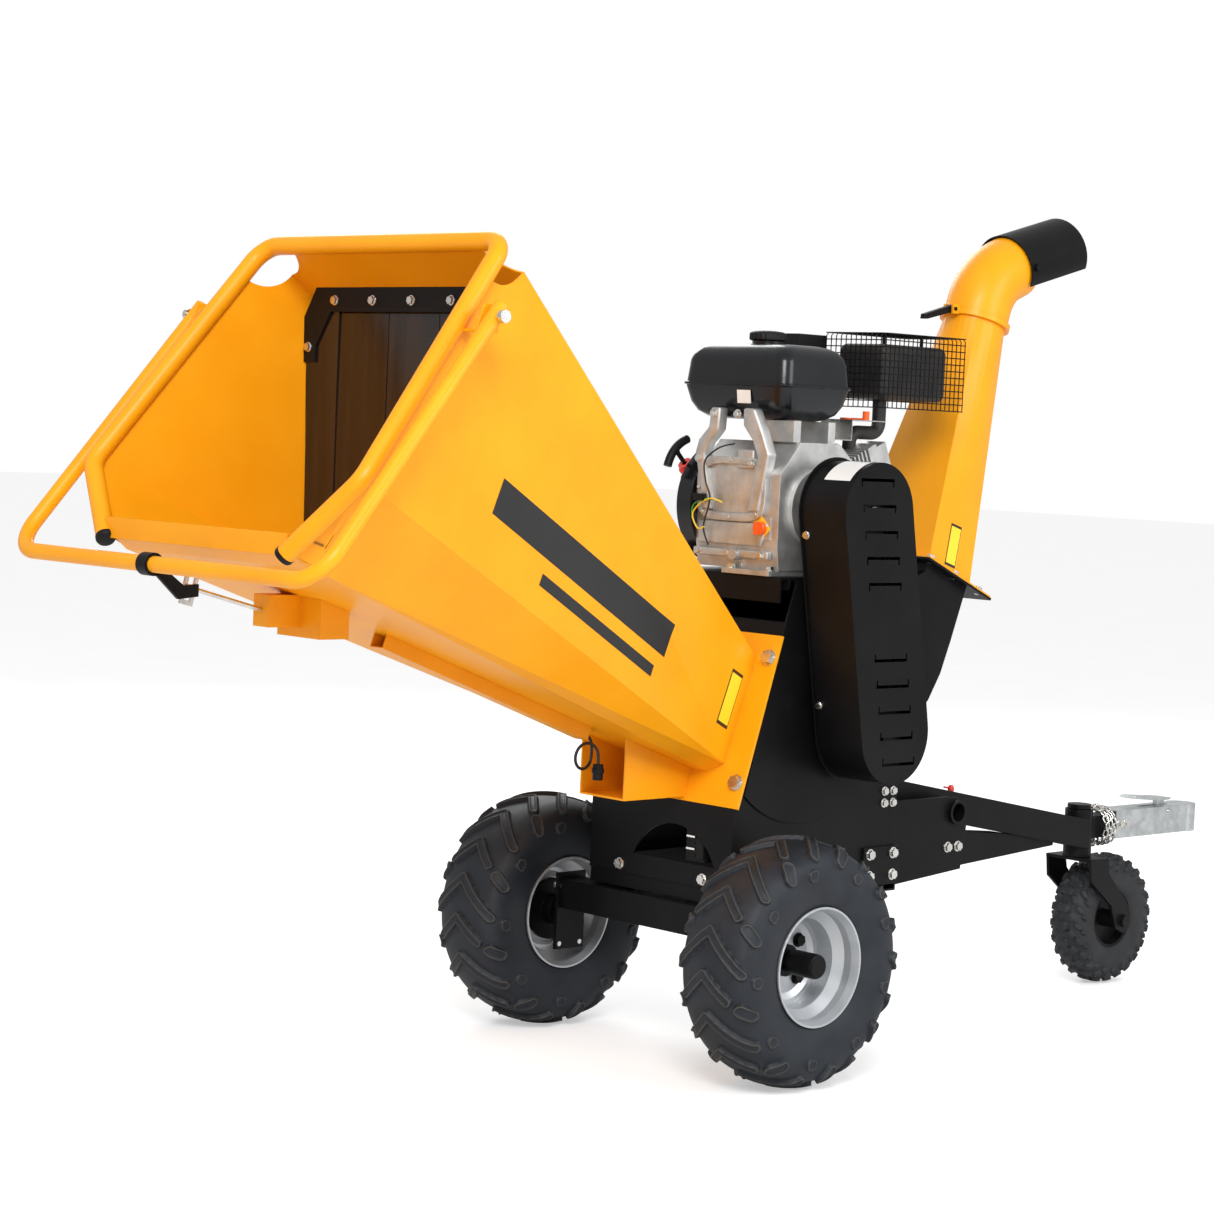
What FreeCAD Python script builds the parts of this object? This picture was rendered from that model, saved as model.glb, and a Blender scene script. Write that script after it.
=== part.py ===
import FreeCAD, Part
import math
import os

V = FreeCAD.Vector

# ------------------------------------------------------------------
# Towable wood chipper with a feed hopper, a belt-driven drum and a
# swivelling discharge chute.  Millimetres.  +X is the towing end,
# -X the feed mouth, -Y the belt side, +Y the recoil starter side,
# +Z is up.  Places below are measured from the wheel axle line on
# the floor; every part is saved with the origin on the floor below
# the middle of the machine's length.
# ------------------------------------------------------------------

# overall
FEED_END_X = -1253.0
TOW_END_X = 1765.0
MIDDLE_X = (FEED_END_X + TOW_END_X) / 2

# road wheels
TYRE_R = 237.5
TRACK = 690.0
RIM_R = 114.0
RIM_HALF_W = 72.0
AXLE_SHAFT_R = 12.5
HUB_R = 31.0

# chassis
SECTION = 60.0
FRAME_HALF_Y = 196.0
AXLE_BEAM_Z = 250.0
FRAME_Z = 315.0
FRAME_REAR_X = 470.0
PLATE = 4.0

# drum housing and hopper flange
HOUSING_HALF_Y = 200.0
FLANGE_FOOT = (-17.0, 509.0)
FLANGE_LEAN = (0.2997, 0.9541)
FLANGE_LEN = 347.0
FLANGE_HALF_Y = 205.0
FLANGE_T = 6.0
DRUM_X = 278.0
DRUM_Z = 655.0
DRUM_R = 118.0
DRUM_HALF_W = 172.0
KNIFE_R = 126.0
DRUM_SHAFT_R = 20.0
PLATFORM_Z = 953.0

# belt drive
GUARD_FACE_Y = -340.0
GUARD_BACK_Y = -226.0
GUARD_R = 98.0
CRANK_X = 199.0
CRANK_Z = 1085.0
CRANK_R = 12.7
ENGINE_PULLEY_R = 60.0
DRUM_PULLEY_R = 80.0

# hopper mouth
MOUTH_TUBE_R = 17.0
MOUTH_FOOT = (-1215.0, 993.0)
MOUTH_LEAN = (0.627, 0.779)
MOUTH_TOP_S = 690.0
MOUTH_BEND_S = 168.0
SHEET = 3.0

# control bar
BAR_R = 14.0
BAR_PIVOT = (-873.0, 416.0, 1399.0)
BAR_FOOT = (-1234.0, 435.0, 964.0)

# discharge
CHUTE_TOP = (866.0, 0.0, 1478.0)
CHUTE_R = 67.0

CHUTE_LEAN = (0.2917, 0.9565)
CHUTE_BASE = (108.0, 74.0, 112.0)
ELBOW_S = 44.0
ELBOW_BEND = 130.0
ELBOW_TURN = 50.0
LOCK_AT = (793.0, 0.0, 1512.0)
DEFLECTOR_HINGE = (976.0, 0.0, 1612.0)
DEFLECTOR_LEAN = (0.963, 0.268)
DEFLECTOR_LEN = 196.0

# towing end
DRAWBAR_HEAD = (717.0, 500.0)
DRAWBAR_SLOPE = -0.186
DRAWBAR_SECTION = 65.0
SWIVEL_X = 1335.0
SWIVEL_R = 32.0
SWIVEL_Z = (300.0, 408.0)
STEM_R = 19.0
CASTER_X = 1438.0
CASTER_R = 150.0
CASTER_W = 92.0
COUPLER_X = 1400.0
NECK_Z = 366.0
BALL_R = 25.5
LATCH_AT = (1640.0, 388.0)

# curtain
CURTAIN_X = -700.0
FLAPS_HALF_Y = 210.0
FLAP_COUNT = 3
FLAP_TOP_Z = 1413.0
FLAP_LOW_Z = 852.0

# cable
CHANNEL_X = (-745.0, -232.0)
CABLE_D = 6.0
COIL_R = 26.0
COIL_AT = (-240.0, -2.0, 600.0)
COIL_PITCH = 20.0


# ------------------------------------------------------------------
# shape helpers
# ------------------------------------------------------------------
def save(shape, name):
    """Write one named part with the machine's origin on the floor."""
    placed = shape.copy()
    placed.translate(V(-MIDDLE_X, 0, 0))
    placed.exportStep("parts/" + name + ".step")


def box(x, y, z):
    """Box from three (low, high) pairs."""
    return Part.makeBox(x[1] - x[0], y[1] - y[0], z[1] - z[0], V(x[0], y[0], z[0]))


def rod(start, end, radius):
    """Round bar between two points."""
    a = V(*start)
    b = V(*end)
    return Part.makeCylinder(radius, (b - a).Length, a, b - a)


def pipe(start, end, radius, bore):
    """Round tube between two points."""
    return rod(start, end, radius).cut(rod(start, end, bore))


def along_y(x, z, y, radius):
    """Round bar along Y between y[0] and y[1]."""
    return rod((x, y[0], z), (x, y[1], z), radius)


def ring_y(x, z, y, radius, bore):
    """Ring around an axis along Y."""
    return along_y(x, z, y, radius).cut(along_y(x, z, y, bore))


def prism_y(points, y):
    """Outline in X and Z, as thick as the y pair."""
    corners = [V(px, y[0], pz) for px, pz in points]
    face = Part.Face(Part.makePolygon(corners + [corners[0]]))
    return face.extrude(V(0, y[1] - y[0], 0))


def prism_x(points, x):
    """Outline in Y and Z, as thick as the x pair."""
    corners = [V(x[0], py, pz) for py, pz in points]
    face = Part.Face(Part.makePolygon(corners + [corners[0]]))
    return face.extrude(V(x[1] - x[0], 0, 0))


def turned_y(profile, x, z):
    """Solid of revolution round an axis along Y; profile is (radius, y)."""
    corners = [V(x + r, y, z) for r, y in profile]
    face = Part.Face(Part.makePolygon(corners + [corners[0]]))
    return face.revolve(V(x, 0, z), V(0, 1, 0), 360)


def mirrored(shape):
    """The same shape on the other side of the machine."""
    return shape.mirror(V(0, 0, 0), V(0, 1, 0))


def both_sides(shape):
    """Group of a shape and its mirror image, as separate solids."""
    return Part.makeCompound([shape, mirrored(shape)])


def joined(shapes):
    """One solid from touching or crossing shapes."""
    result = shapes[0].multiFuse(shapes[1:])
    return result.removeSplitter()


def less(shape, cutters):
    """Shape with every cutter taken away."""
    for cutter in cutters:
        shape = shape.cut(cutter)
    return shape


def divided(solids, point, normal):
    """Solids cut in two along a plane."""
    half = Part.makeCylinder(4000, 4000, V(*point), V(*normal))
    pieces = []
    for solid in solids:
        pieces += solid.common(half).Solids + solid.cut(half).Solids
    return pieces


def bent_bar(points, radius, bend):
    """Round bar through points, with an arc of radius bend at each corner."""
    pts = [V(*p) for p in points]
    pieces = []
    start = pts[0]
    for i in range(1, len(pts) - 1):
        before = (pts[i] - pts[i - 1]).normalize()
        after = (pts[i + 1] - pts[i]).normalize()
        turn = before.getAngle(after)
        reach = bend * math.tan(turn / 2)
        enter = pts[i] - before * reach
        leave = pts[i] + after * reach
        axis = before.cross(after).normalize()
        centre = enter + axis.cross(before) * bend
        disc = Part.Face(Part.Wire(Part.makeCircle(radius, enter, before)))
        pieces.append(Part.makeCylinder(radius, (enter - start).Length, start, before))
        pieces.append(disc.revolve(centre, axis, math.degrees(turn)))
        start = leave
    last = pts[-1] - start
    pieces.append(Part.makeCylinder(radius, last.Length, start, last))
    return joined(pieces)


def polyhedron(faces):
    """Closed solid from lists of corner points; each face is flat."""
    skins = []
    for face in faces:
        loop = Part.makePolygon([V(*p) for p in face] + [V(*face[0])])
        skins.append(Part.Face(loop))
    solid = Part.Solid(Part.Shell(skins))
    if solid.Volume < 0:
        solid.reverse()
    return solid


def hex_bolt(place, direction, size, grip):
    """Hexagon bolt with a washer; the head stands on place, facing direction."""
    d = V(*direction).normalize()
    p = V(*place)
    side = d.cross(V(0.31, 0.17, 0.93)).normalize()
    up = d.cross(side)
    head_r = size * 0.95
    corners = []
    for i in range(6):
        a = math.radians(60 * i)
        corners.append(p + d * (size * 0.2) + side * (head_r * math.cos(a)) + up * (head_r * math.sin(a)))
    head = Part.Face(Part.makePolygon(corners + [corners[0]])).extrude(d * (size * 0.65))
    washer = Part.makeCylinder(size * 1.15, size * 0.2, p, d)
    shank = Part.makeCylinder(size / 2, grip, p - d * grip, d)
    return joined([head, washer, shank])


def bolt_hole(place, direction, size, grip):
    """Clearance cut for a bolt's shank."""
    d = V(*direction).normalize()
    return Part.makeCylinder(size / 2 + 0.05, grip + 1, V(*place) - d * (grip + 0.5), d)


def flange_point(y, s, out=0.0):
    """Point on the hopper flange: across, up the lean, and out towards the feed end."""
    lean_x, lean_z = FLANGE_LEAN
    return (FLANGE_FOOT[0] + lean_x * s - lean_z * out, y, FLANGE_FOOT[1] + lean_z * s + lean_x * out)


def mouth_point(y, s):
    """Point in the plane of the hopper mouth: across, and up the lean from the lip."""
    return (MOUTH_FOOT[0] + MOUTH_LEAN[0] * s, y, MOUTH_FOOT[1] + MOUTH_LEAN[1] * s)


def flange_slab(half_y, s, out):
    """Flat plate parallel to the hopper flange."""
    corners = []
    for px, py in ((-half_y, s[0]), (half_y, s[0]), (half_y, s[1]), (-half_y, s[1])):
        corners.append(V(*flange_point(px, py, out[0])))
    lean_x, lean_z = FLANGE_LEAN
    grow = V(-lean_z, 0, lean_x) * (out[1] - out[0])
    return Part.Face(Part.makePolygon(corners + [corners[0]])).extrude(grow)


# ------------------------------------------------------------------
# chassis
# ------------------------------------------------------------------
def chassis_frame():
    top = FRAME_Z + SECTION
    wall = 4.0
    inner = SECTION - 2 * wall

    def beam_y(x0, half_y):
        outer = box((x0, x0 + SECTION), (-half_y, half_y), (FRAME_Z, top))
        hole = box((x0 + wall, x0 + wall + inner), (-half_y - 1, half_y + 1), (FRAME_Z + wall, top - wall))
        return outer.cut(hole)

    front = beam_y(-12.0, FRAME_HALF_Y)
    rear = beam_y(FRAME_REAR_X - SECTION, FRAME_HALF_Y)
    rail_x = (-12.0 + SECTION, FRAME_REAR_X - SECTION)
    rail_y = (-FRAME_HALF_Y, -FRAME_HALF_Y + 50)
    rail = box(rail_x, rail_y, (FRAME_Z, top))
    hole_y = (rail_y[0] + wall, rail_y[1] - wall)
    rail_hole = box((rail_x[0] - 1, rail_x[1] + 1), hole_y, (FRAME_Z + wall, top - wall))
    rail = rail.cut(rail_hole)
    upright_x = (FRAME_REAR_X - SECTION, FRAME_REAR_X - SECTION + 50)
    upright = box(upright_x, (-FRAME_HALF_Y, -FRAME_HALF_Y + 50), (top, 532.0))
    cheek = box((-12, FRAME_REAR_X - 10), (-FRAME_HALF_Y, -FRAME_HALF_Y + PLATE), (top, 560))
    cheek = less(cheek, [slab_y(housing_outline(), HOUSING_HALF_Y),
                         flange_slab(300, (-400, 500), (-FLANGE_T, 600))])
    side_plate = box((362, FRAME_REAR_X), (-FRAME_HALF_Y - 6, -FRAME_HALF_Y), (330, 408))
    right_side = [rail, upright, cheek, side_plate]
    return joined([front, rear, axle_beam()] + right_side + [mirrored(piece) for piece in right_side])


def axle_beam():
    wall = 4.0
    outer = box((-30, 30), (-262, 262), (AXLE_BEAM_Z, AXLE_BEAM_Z + SECTION))
    hole = box((-30 + wall, 30 - wall), (-263, 263), (AXLE_BEAM_Z + wall, AXLE_BEAM_Z + SECTION - wall))
    spacer = box((0, 30), (-150, -110), (AXLE_BEAM_Z + SECTION, FRAME_Z))
    return joined([outer.cut(hole), spacer, mirrored(spacer)])


def stub_axle():
    """Bolted plate at the end of the axle beam, with its fixed wheel shaft."""
    plate = box((-38, 38), (-270, -262), (165, 322))
    shaft = along_y(0, TYRE_R, (-408, -262), AXLE_SHAFT_R)
    collar = along_y(0, TYRE_R, (-288, -270), 22)
    return joined([plate, shaft, collar])


def front_panel():
    sheet = box((-16, -12), (-FRAME_HALF_Y, FRAME_HALF_Y), (FRAME_Z + 30, 510))
    arch = rod((-20, -39, 338), (-8, -39, 338), 122)
    keep_low = box((-21, -7), (-200, 200), (200, 388))
    flange = flange_slab(FLANGE_HALF_Y, (0, FLANGE_LEN), (-20, 20))
    return less(sheet, [arch.cut(keep_low), flange])


def relay_box():
    body = box((-8, 38), (-116, -66), (392, 470))
    ear = box((-12, -8), (-116, -97), (398, 470))
    ribs = []
    for z in (404, 416, 428, 440, 452):
        ribs.append(box((-11, -8), (-92, -68), (z - 2, z + 2)))
    return joined([body, ear] + ribs)


# ------------------------------------------------------------------
# road wheels
# ------------------------------------------------------------------
def tyre():
    outer = [(RIM_R - 6, -62), (RIM_R + 2, -74), (150, -84), (182, -90), (212, -84), (228, -70), (235, -50)]
    outer += [(TYRE_R, -28), (TYRE_R, 28)]
    outer += [(235, 50), (228, 70), (212, 84), (182, 90), (150, 84), (RIM_R + 2, 74), (RIM_R - 6, 62)]
    inner = [(RIM_R - 6, 50), (142, 64), (180, 74), (208, 70), (222, 48), (226, 0)]
    inner += [(222, -48), (208, -70), (180, -74), (142, -64), (RIM_R - 6, -50)]
    return turned_y([(r, WHEEL_Y + w) for r, w in outer + inner], 0, TYRE_R)


WHEEL_Y = -TRACK / 2
DISC_Y = WHEEL_Y + 16


def stud_places():
    places = []
    for i in range(4):
        a = math.radians(45 + 90 * i)
        places.append((50 * math.cos(a), TYRE_R + 50 * math.sin(a)))
    return places


def rim():
    """Pressed steel rim of the wheel on the belt side."""
    barrel = [(RIM_R - 7, -61.9), (RIM_R, -74.5), (RIM_R, -RIM_HALF_W - 6), (RIM_R - 4, -RIM_HALF_W - 6)]
    barrel += [(RIM_R - 10, -62), (RIM_R - 10, -45), (86, -30), (86, 30), (RIM_R - 10, 45), (RIM_R - 10, 62)]
    barrel += [(RIM_R - 4, RIM_HALF_W + 6), (RIM_R, RIM_HALF_W + 6), (RIM_R, 74.5), (RIM_R - 7, 61.9)]
    barrel += [(RIM_R - 7, 44), (89, 28), (89, -28), (RIM_R - 7, -44)]
    shell = turned_y([(r, WHEEL_Y + w) for r, w in barrel], 0, TYRE_R)
    disc = [(HUB_R, -2), (64, -2), (76, -8), (87, -8), (87, -4), (77, -4), (65, 2), (HUB_R, 2)]
    web = turned_y([(r, DISC_Y + w) for r, w in disc], 0, TYRE_R)
    holes = [along_y(x, z, (DISC_Y - 10, DISC_Y + 10), 6.05) for x, z in stud_places()]
    return less(joined([shell, web]), holes)


def hub():
    """Hub with a bolting flange and a long grease cap towards the outside."""
    flange = along_y(0, TYRE_R, (DISC_Y + 2, DISC_Y + 10), 63)
    barrel = along_y(0, TYRE_R, (DISC_Y - 10, DISC_Y + 34), HUB_R - 0.5)
    cap = along_y(0, TYRE_R, (WHEEL_Y - 74, DISC_Y - 10), 20)
    bore = along_y(0, TYRE_R, (WHEEL_Y - 66, DISC_Y + 40), AXLE_SHAFT_R + 0.05)
    holes = [along_y(x, z, (DISC_Y - 30, DISC_Y + 30), 6.05) for x, z in stud_places()]
    nuts = [hex_bolt((x, DISC_Y - 2, z), (0, -1, 0), 12, 12) for x, z in stud_places()]
    return Part.makeCompound([less(joined([flange, barrel, cap]), [bore] + holes)] + nuts)


# ------------------------------------------------------------------
# drum housing and cutting drum
# ------------------------------------------------------------------
HOUSING_ARC = (168.0, 710.0, 239.0)
HOUSING_RIGHT = DRUM_X + 150.0
HOUSING_TOP = PLATFORM_Z - 6.0
HOUSING_LEFT = 104.0
DUCT_HALF_Y = 120.0
DUCT_LOW = (590.0, 990.0)
DUCT_LEAN = (0.923, -0.384)
DUCT_FLANGE = 226.0


def housing_outline():
    """Side outline of the drum housing as a closed face in the plane y=0."""
    cx, cz, radius = HOUSING_ARC
    foot = flange_point(0, 6, -FLANGE_T)
    head = flange_point(0, FLANGE_LEN - 4, -FLANGE_T)
    start_a = math.atan2(foot[2] - cz, foot[0] - cx)
    enter = V(cx + radius * math.cos(start_a), 0, cz + radius * math.sin(start_a))
    bottom = V(cx, 0, cz - radius)
    end_a = math.radians(-56)
    leave = V(cx + radius * math.cos(end_a), 0, cz + radius * math.sin(end_a))
    reach = HOUSING_RIGHT - DRUM_X
    half_turn = math.radians(-42)
    middle = V(DRUM_X + reach * math.cos(half_turn), 0, DRUM_Z + reach * math.sin(half_turn))
    side = V(HOUSING_RIGHT, 0, DRUM_Z)
    edges = [Part.Arc(enter, bottom, leave).toShape(), Part.Arc(leave, middle, side).toShape()]
    chain = [side, V(HOUSING_RIGHT, 0, HOUSING_TOP), V(HOUSING_LEFT, 0, HOUSING_TOP)]
    chain += [V(HOUSING_LEFT, 0, 900), V(head[0], 0, head[2]), enter]
    for a, b in zip(chain, chain[1:]):
        edges.append(Part.LineSegment(a, b).toShape())
    return Part.Face(Part.Wire(edges))


def slab_y(face, half):
    """Face in the plane y=0 made into a slab from -half to +half."""
    slab = face.extrude(V(0, 2 * half, 0))
    slab.translate(V(0, -half, 0))
    return slab


def drum_housing():
    outline = housing_outline()
    solid = slab_y(outline, HOUSING_HALF_Y)
    room = slab_y(outline.makeOffset2D(-PLATE), HOUSING_HALF_Y - PLATE)
    inlet = flange_slab(146, (68, 294), (-60, 20))
    outlet = box((HOUSING_RIGHT - 8, HOUSING_RIGHT + 8), (-112, 112), (612, 890))
    bore = along_y(DRUM_X, DRUM_Z, (-300, 300), DRUM_SHAFT_R + 6)
    front = flange_slab(300, (-50, 500), (-FLANGE_T, 10))
    return less(solid, [room, inlet, outlet, bore, front])


def duct_outline():
    right = [(HOUSING_RIGHT, 600), (520, 622), (590, 652), (635, 690), (670, 745), (699, 815), (732, 903)]
    left = [(742, 930), (612, 1010), (606, 960), (540, 932), (HOUSING_RIGHT, 905)]
    corners = [V(x, 0, z) for x, z in right + left]
    return Part.Face(Part.makePolygon(corners + [corners[0]]))


def duct_plate(along, lift, half_y):
    """Plate lying on the duct's sloping mouth."""
    corners = []
    for a, b in ((along[0], lift[0]), (along[1], lift[0]), (along[1], lift[1]), (along[0], lift[1])):
        x = DUCT_LOW[0] + DUCT_LEAN[0] * a - DUCT_LEAN[1] * b
        z = DUCT_LOW[1] + DUCT_LEAN[1] * a + DUCT_LEAN[0] * b
        corners.append((x, z))
    return prism_y(corners, (-half_y, half_y))


def duct_point(along, y, lift):
    x = DUCT_LOW[0] + DUCT_LEAN[0] * along - DUCT_LEAN[1] * lift
    z = DUCT_LOW[1] + DUCT_LEAN[1] * along + DUCT_LEAN[0] * lift
    return (x, y, z)


def discharge_duct():
    outline = duct_outline()
    body = slab_y(outline, DUCT_HALF_Y)
    plate = duct_plate((0, DUCT_FLANGE), (-5, 0), DUCT_HALF_Y + 22)
    room = slab_y(outline.makeOffset2D(-3), DUCT_HALF_Y - 3)
    above = duct_plate((-200, 400), (0, 120), 300)
    inlet = box((HOUSING_RIGHT - 1, HOUSING_RIGHT + 8), (-112, 112), (612, 890))
    housing = slab_y(housing_outline(), HOUSING_HALF_Y)
    return less(joined([body, plate]), [room, inlet, above, housing])


def drum_shaft():
    return along_y(DRUM_X, DRUM_Z, (-324, 262), DRUM_SHAFT_R)


def cutting_drum():
    drum = along_y(DRUM_X, DRUM_Z, (-DRUM_HALF_W, DRUM_HALF_W), DRUM_R)
    shaft = along_y(DRUM_X, DRUM_Z, (-400, 400), DRUM_SHAFT_R)
    pocket = box((DRUM_X - 62, DRUM_X + 4), (-150, 150), (DRUM_Z + 84, DRUM_Z + 140))
    turned = pocket.copy()
    turned.rotate(V(DRUM_X, 0, DRUM_Z), V(0, 1, 0), 180)
    return less(drum, [shaft, pocket, turned])


def drum_knives():
    blade = prism_y([(-62, 84), (-62, 94), (-30, 94), (4, KNIFE_R - 4), (4, 112), (-22, 84)], (-149, 149))
    blade.translate(V(DRUM_X, 0, DRUM_Z))
    other = blade.copy()
    other.rotate(V(DRUM_X, 0, DRUM_Z), V(0, 1, 0), 180)
    return Part.makeCompound([blade, other])


def anvil():
    """Bed and shear bar between the throat and the knives."""
    return prism_y([(27, 568), (150, 588), (158, 604), (148, 604), (27, 580)], (-DRUM_HALF_W, DRUM_HALF_W))


def shaft_bearing():
    """Flanged bearing on the housing's side, with the shaft's bore."""
    plate = along_y(DRUM_X, DRUM_Z, (-212, -200), 52)
    nose = along_y(DRUM_X, DRUM_Z, (-221, -212), 33)
    bore = along_y(DRUM_X, DRUM_Z, (-230, -190), DRUM_SHAFT_R + 0.05)
    return joined([plate, nose]).cut(bore)


def drum_pulley():
    return belt_pulley(DRUM_X, DRUM_Z, DRUM_PULLEY_R, DRUM_SHAFT_R)


# ------------------------------------------------------------------
# belt drive and guard
# ------------------------------------------------------------------
BELT_Y = (-296.0, -272.0)
BELT_HALF = 6.5
GUARD_SHEET = 2.0


def belt_pulley(x, z, radius, shaft_r):
    """Two-groove belt pulley on a shaft along Y."""
    body = along_y(x, z, (-312, -256), radius)
    hub_ring = along_y(x, z, (-318, -250), shaft_r + 14)
    grooves = []
    for y in BELT_Y:
        grooves.append(ring_y(x, z, (y - BELT_HALF - 0.5, y + BELT_HALF + 0.5), radius + 1, radius - 9))
    bore = along_y(x, z, (-330, -240), shaft_r)
    return less(joined([body, hub_ring]), grooves + [bore])


def stadium(y, low_r, high_r):
    """Solid round both pulley shafts, with a straight flank each side."""
    a = V(DRUM_X, y[0], DRUM_Z)
    b = V(CRANK_X, y[0], CRANK_Z)
    line = (b - a)
    length = line.Length
    u = line.normalize()
    side = V(u.z, 0, -u.x)
    lean = math.asin((low_r - high_r) / length)
    n1 = side * math.cos(lean) + u * math.sin(lean)
    n2 = side * -math.cos(lean) + u * math.sin(lean)
    edges = []
    edges.append(Part.LineSegment(a + n1 * low_r, b + n1 * high_r).toShape())
    edges.append(Part.Arc(b + n1 * high_r, b + u * high_r, b + n2 * high_r).toShape())
    edges.append(Part.LineSegment(b + n2 * high_r, a + n2 * low_r).toShape())
    edges.append(Part.Arc(a + n2 * low_r, a - u * low_r, a + n1 * low_r).toShape())
    return Part.Face(Part.Wire(edges)).extrude(V(0, y[1] - y[0], 0))


def engine_pulley():
    return belt_pulley(CRANK_X, CRANK_Z, ENGINE_PULLEY_R, CRANK_R)


def drive_belts():
    belts = []
    for y in BELT_Y:
        span = (y - BELT_HALF, y + BELT_HALF)
        outer = stadium(span, DRUM_PULLEY_R + 1, ENGINE_PULLEY_R + 1)
        inner = stadium(span, DRUM_PULLEY_R - 8, ENGINE_PULLEY_R - 8)
        belts.append(outer.cut(inner))
    return Part.makeCompound(belts)


def guard_cover():
    outer = stadium((GUARD_FACE_Y, GUARD_BACK_Y - GUARD_SHEET), GUARD_R, GUARD_R)
    inner_r = GUARD_R - GUARD_SHEET
    inner = stadium((GUARD_FACE_Y + GUARD_SHEET, GUARD_BACK_Y), inner_r, inner_r)
    slots = []
    lean_x = (CRANK_X - DRUM_X) / (CRANK_Z - DRUM_Z)
    for base in (CRANK_Z + 64, DRUM_Z - 58):
        for i in range(5):
            step = -50 * i if base > CRANK_Z else 51 * i
            z = base + step
            x = DRUM_X + lean_x * (z - DRUM_Z)
            through = (GUARD_FACE_Y - 5, GUARD_FACE_Y + 5)
            ends_z = (z - 13, z - 3) if base > CRANK_Z else (z + 3, z + 13)
            slots.append(box((x - 46, x + 50), through, (z - 3, z + 3)))
            slots.append(box((x - 46, x - 42), through, ends_z))
            slots.append(box((x + 46, x + 50), through, ends_z))
    return less(outer, [inner] + slots)


def guard_backplate():
    plate = stadium((GUARD_BACK_Y, GUARD_BACK_Y + GUARD_SHEET), GUARD_R + 6, GUARD_R + 6)
    rim_out_r = GUARD_R - GUARD_SHEET - 0.2
    rim = stadium((GUARD_BACK_Y - 16, GUARD_BACK_Y), rim_out_r, rim_out_r)
    rim_in = stadium((GUARD_BACK_Y - 17, GUARD_BACK_Y), rim_out_r - 2, rim_out_r - 2)
    crank_hole = along_y(CRANK_X, CRANK_Z, (-250, -200), 30)
    drum_hole = along_y(DRUM_X, DRUM_Z, (-250, -200), 36)
    stays = []
    stay_places = [(DRUM_X - 60, DRUM_Z + 55), (DRUM_X + 70, DRUM_Z + 30)]
    stay_places += [(DRUM_X - 60, 850), (DRUM_X + 45, 850)]
    for x, z in stay_places:
        stays.append(along_y(x, z, (GUARD_BACK_Y + GUARD_SHEET, -HOUSING_HALF_Y), 9))
    return less(joined([plate, rim.cut(rim_in)] + stays), [crank_hole, drum_hole])


# ------------------------------------------------------------------
# engine
# ------------------------------------------------------------------
CASE_X = (95.0, 303.0)
CASE_Y = (-172.0, 48.0)
FOOT_Y = (-170.0, -44.0)
RECOIL_Y = 86.0
CYLINDER_TILT = math.radians(25)
TANK_X = (94.0, 306.0)
TANK_Y = (-172.0, 118.0)
TANK_SEAM_Z = 1324.0
MUFFLER_X = (420.0, 620.0)
MUFFLER_Y = (-140.0, -10.0)
MUFFLER_Z = (1308.0, 1420.0)
CAGE_X = (402.0, 652.0)
CAGE_Y = (-158.0, 6.0)
CAGE_Z = (1290.0, 1442.0)


def engine_platform():
    edge = HOUSING_LEFT - 22
    across = (-HOUSING_HALF_Y + 4, 130)
    deck = box((edge, HOUSING_RIGHT + 20), across, (HOUSING_TOP, PLATFORM_Z))
    lip = box((edge, edge + 6), across, (HOUSING_TOP - 44, HOUSING_TOP))
    return joined([deck, lip])


def crankcase():
    feet = box((76, 324), FOOT_Y, (PLATFORM_Z, PLATFORM_Z + 10))
    outline = [(102, 963), (298, 963), (303, 1000), (303, 1180)]
    outline += [(262, 1214), (150, 1214), (95, 1150), (95, 1010)]
    block = prism_y(outline, CASE_Y)
    cover = along_y(CRANK_X, CRANK_Z, (CASE_Y[0] - 10, CASE_Y[0]), 78)
    tower_a = box((140, 160), (-160, -60), (1214, 1256))
    tower_b = box((240, 260), (-160, -60), (1214, 1256))
    plug = rod((96, -70, 990), (76, -70, 990), 11)
    bore = along_y(CRANK_X, CRANK_Z, (-300, 200), CRANK_R + 0.05)
    room = along_y(CRANK_X, CRANK_Z, (CASE_Y[0] + 10, CASE_Y[1] - 10), 70)
    return less(joined([feet, block, cover, tower_a, tower_b, plug]), [bore, room])


def crankshaft():
    """Crankshaft with its webs and the flywheel fixed on it."""
    shaft = along_y(CRANK_X, CRANK_Z, (-326, RECOIL_Y - 4), CRANK_R)
    web_a = along_y(CRANK_X, CRANK_Z, (-140, -122), 58)
    web_b = along_y(CRANK_X, CRANK_Z, (-92, -74), 58)
    flywheel = along_y(CRANK_X, CRANK_Z, (CASE_Y[1] + 6, RECOIL_Y - 8), 96)
    return joined([shaft, web_a, web_b, flywheel])


def cylinder_block():
    """Finned cylinder with its head, leaning up towards the towing end."""
    fins = []
    core = box((0, 96), (-132, -62), (-46, 46))
    for i in range(8):
        x = 6 + 11 * i
        fins.append(box((x, x + 4), (-158, -46), (-62, 62)))
    head = box((96, 122), (-156, -48), (-60, 60))
    cover = box((122, 160), (-146, -58), (-48, 48))
    block = joined([core, head, cover] + fins)
    block.rotate(V(0, 0, 0), V(0, 1, 0), -math.degrees(CYLINDER_TILT))
    block.translate(V(CASE_X[1], 0, 1112))
    return block.cut(box((200, CASE_X[1]), (-200, 0), (900, 1300)))


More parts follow.
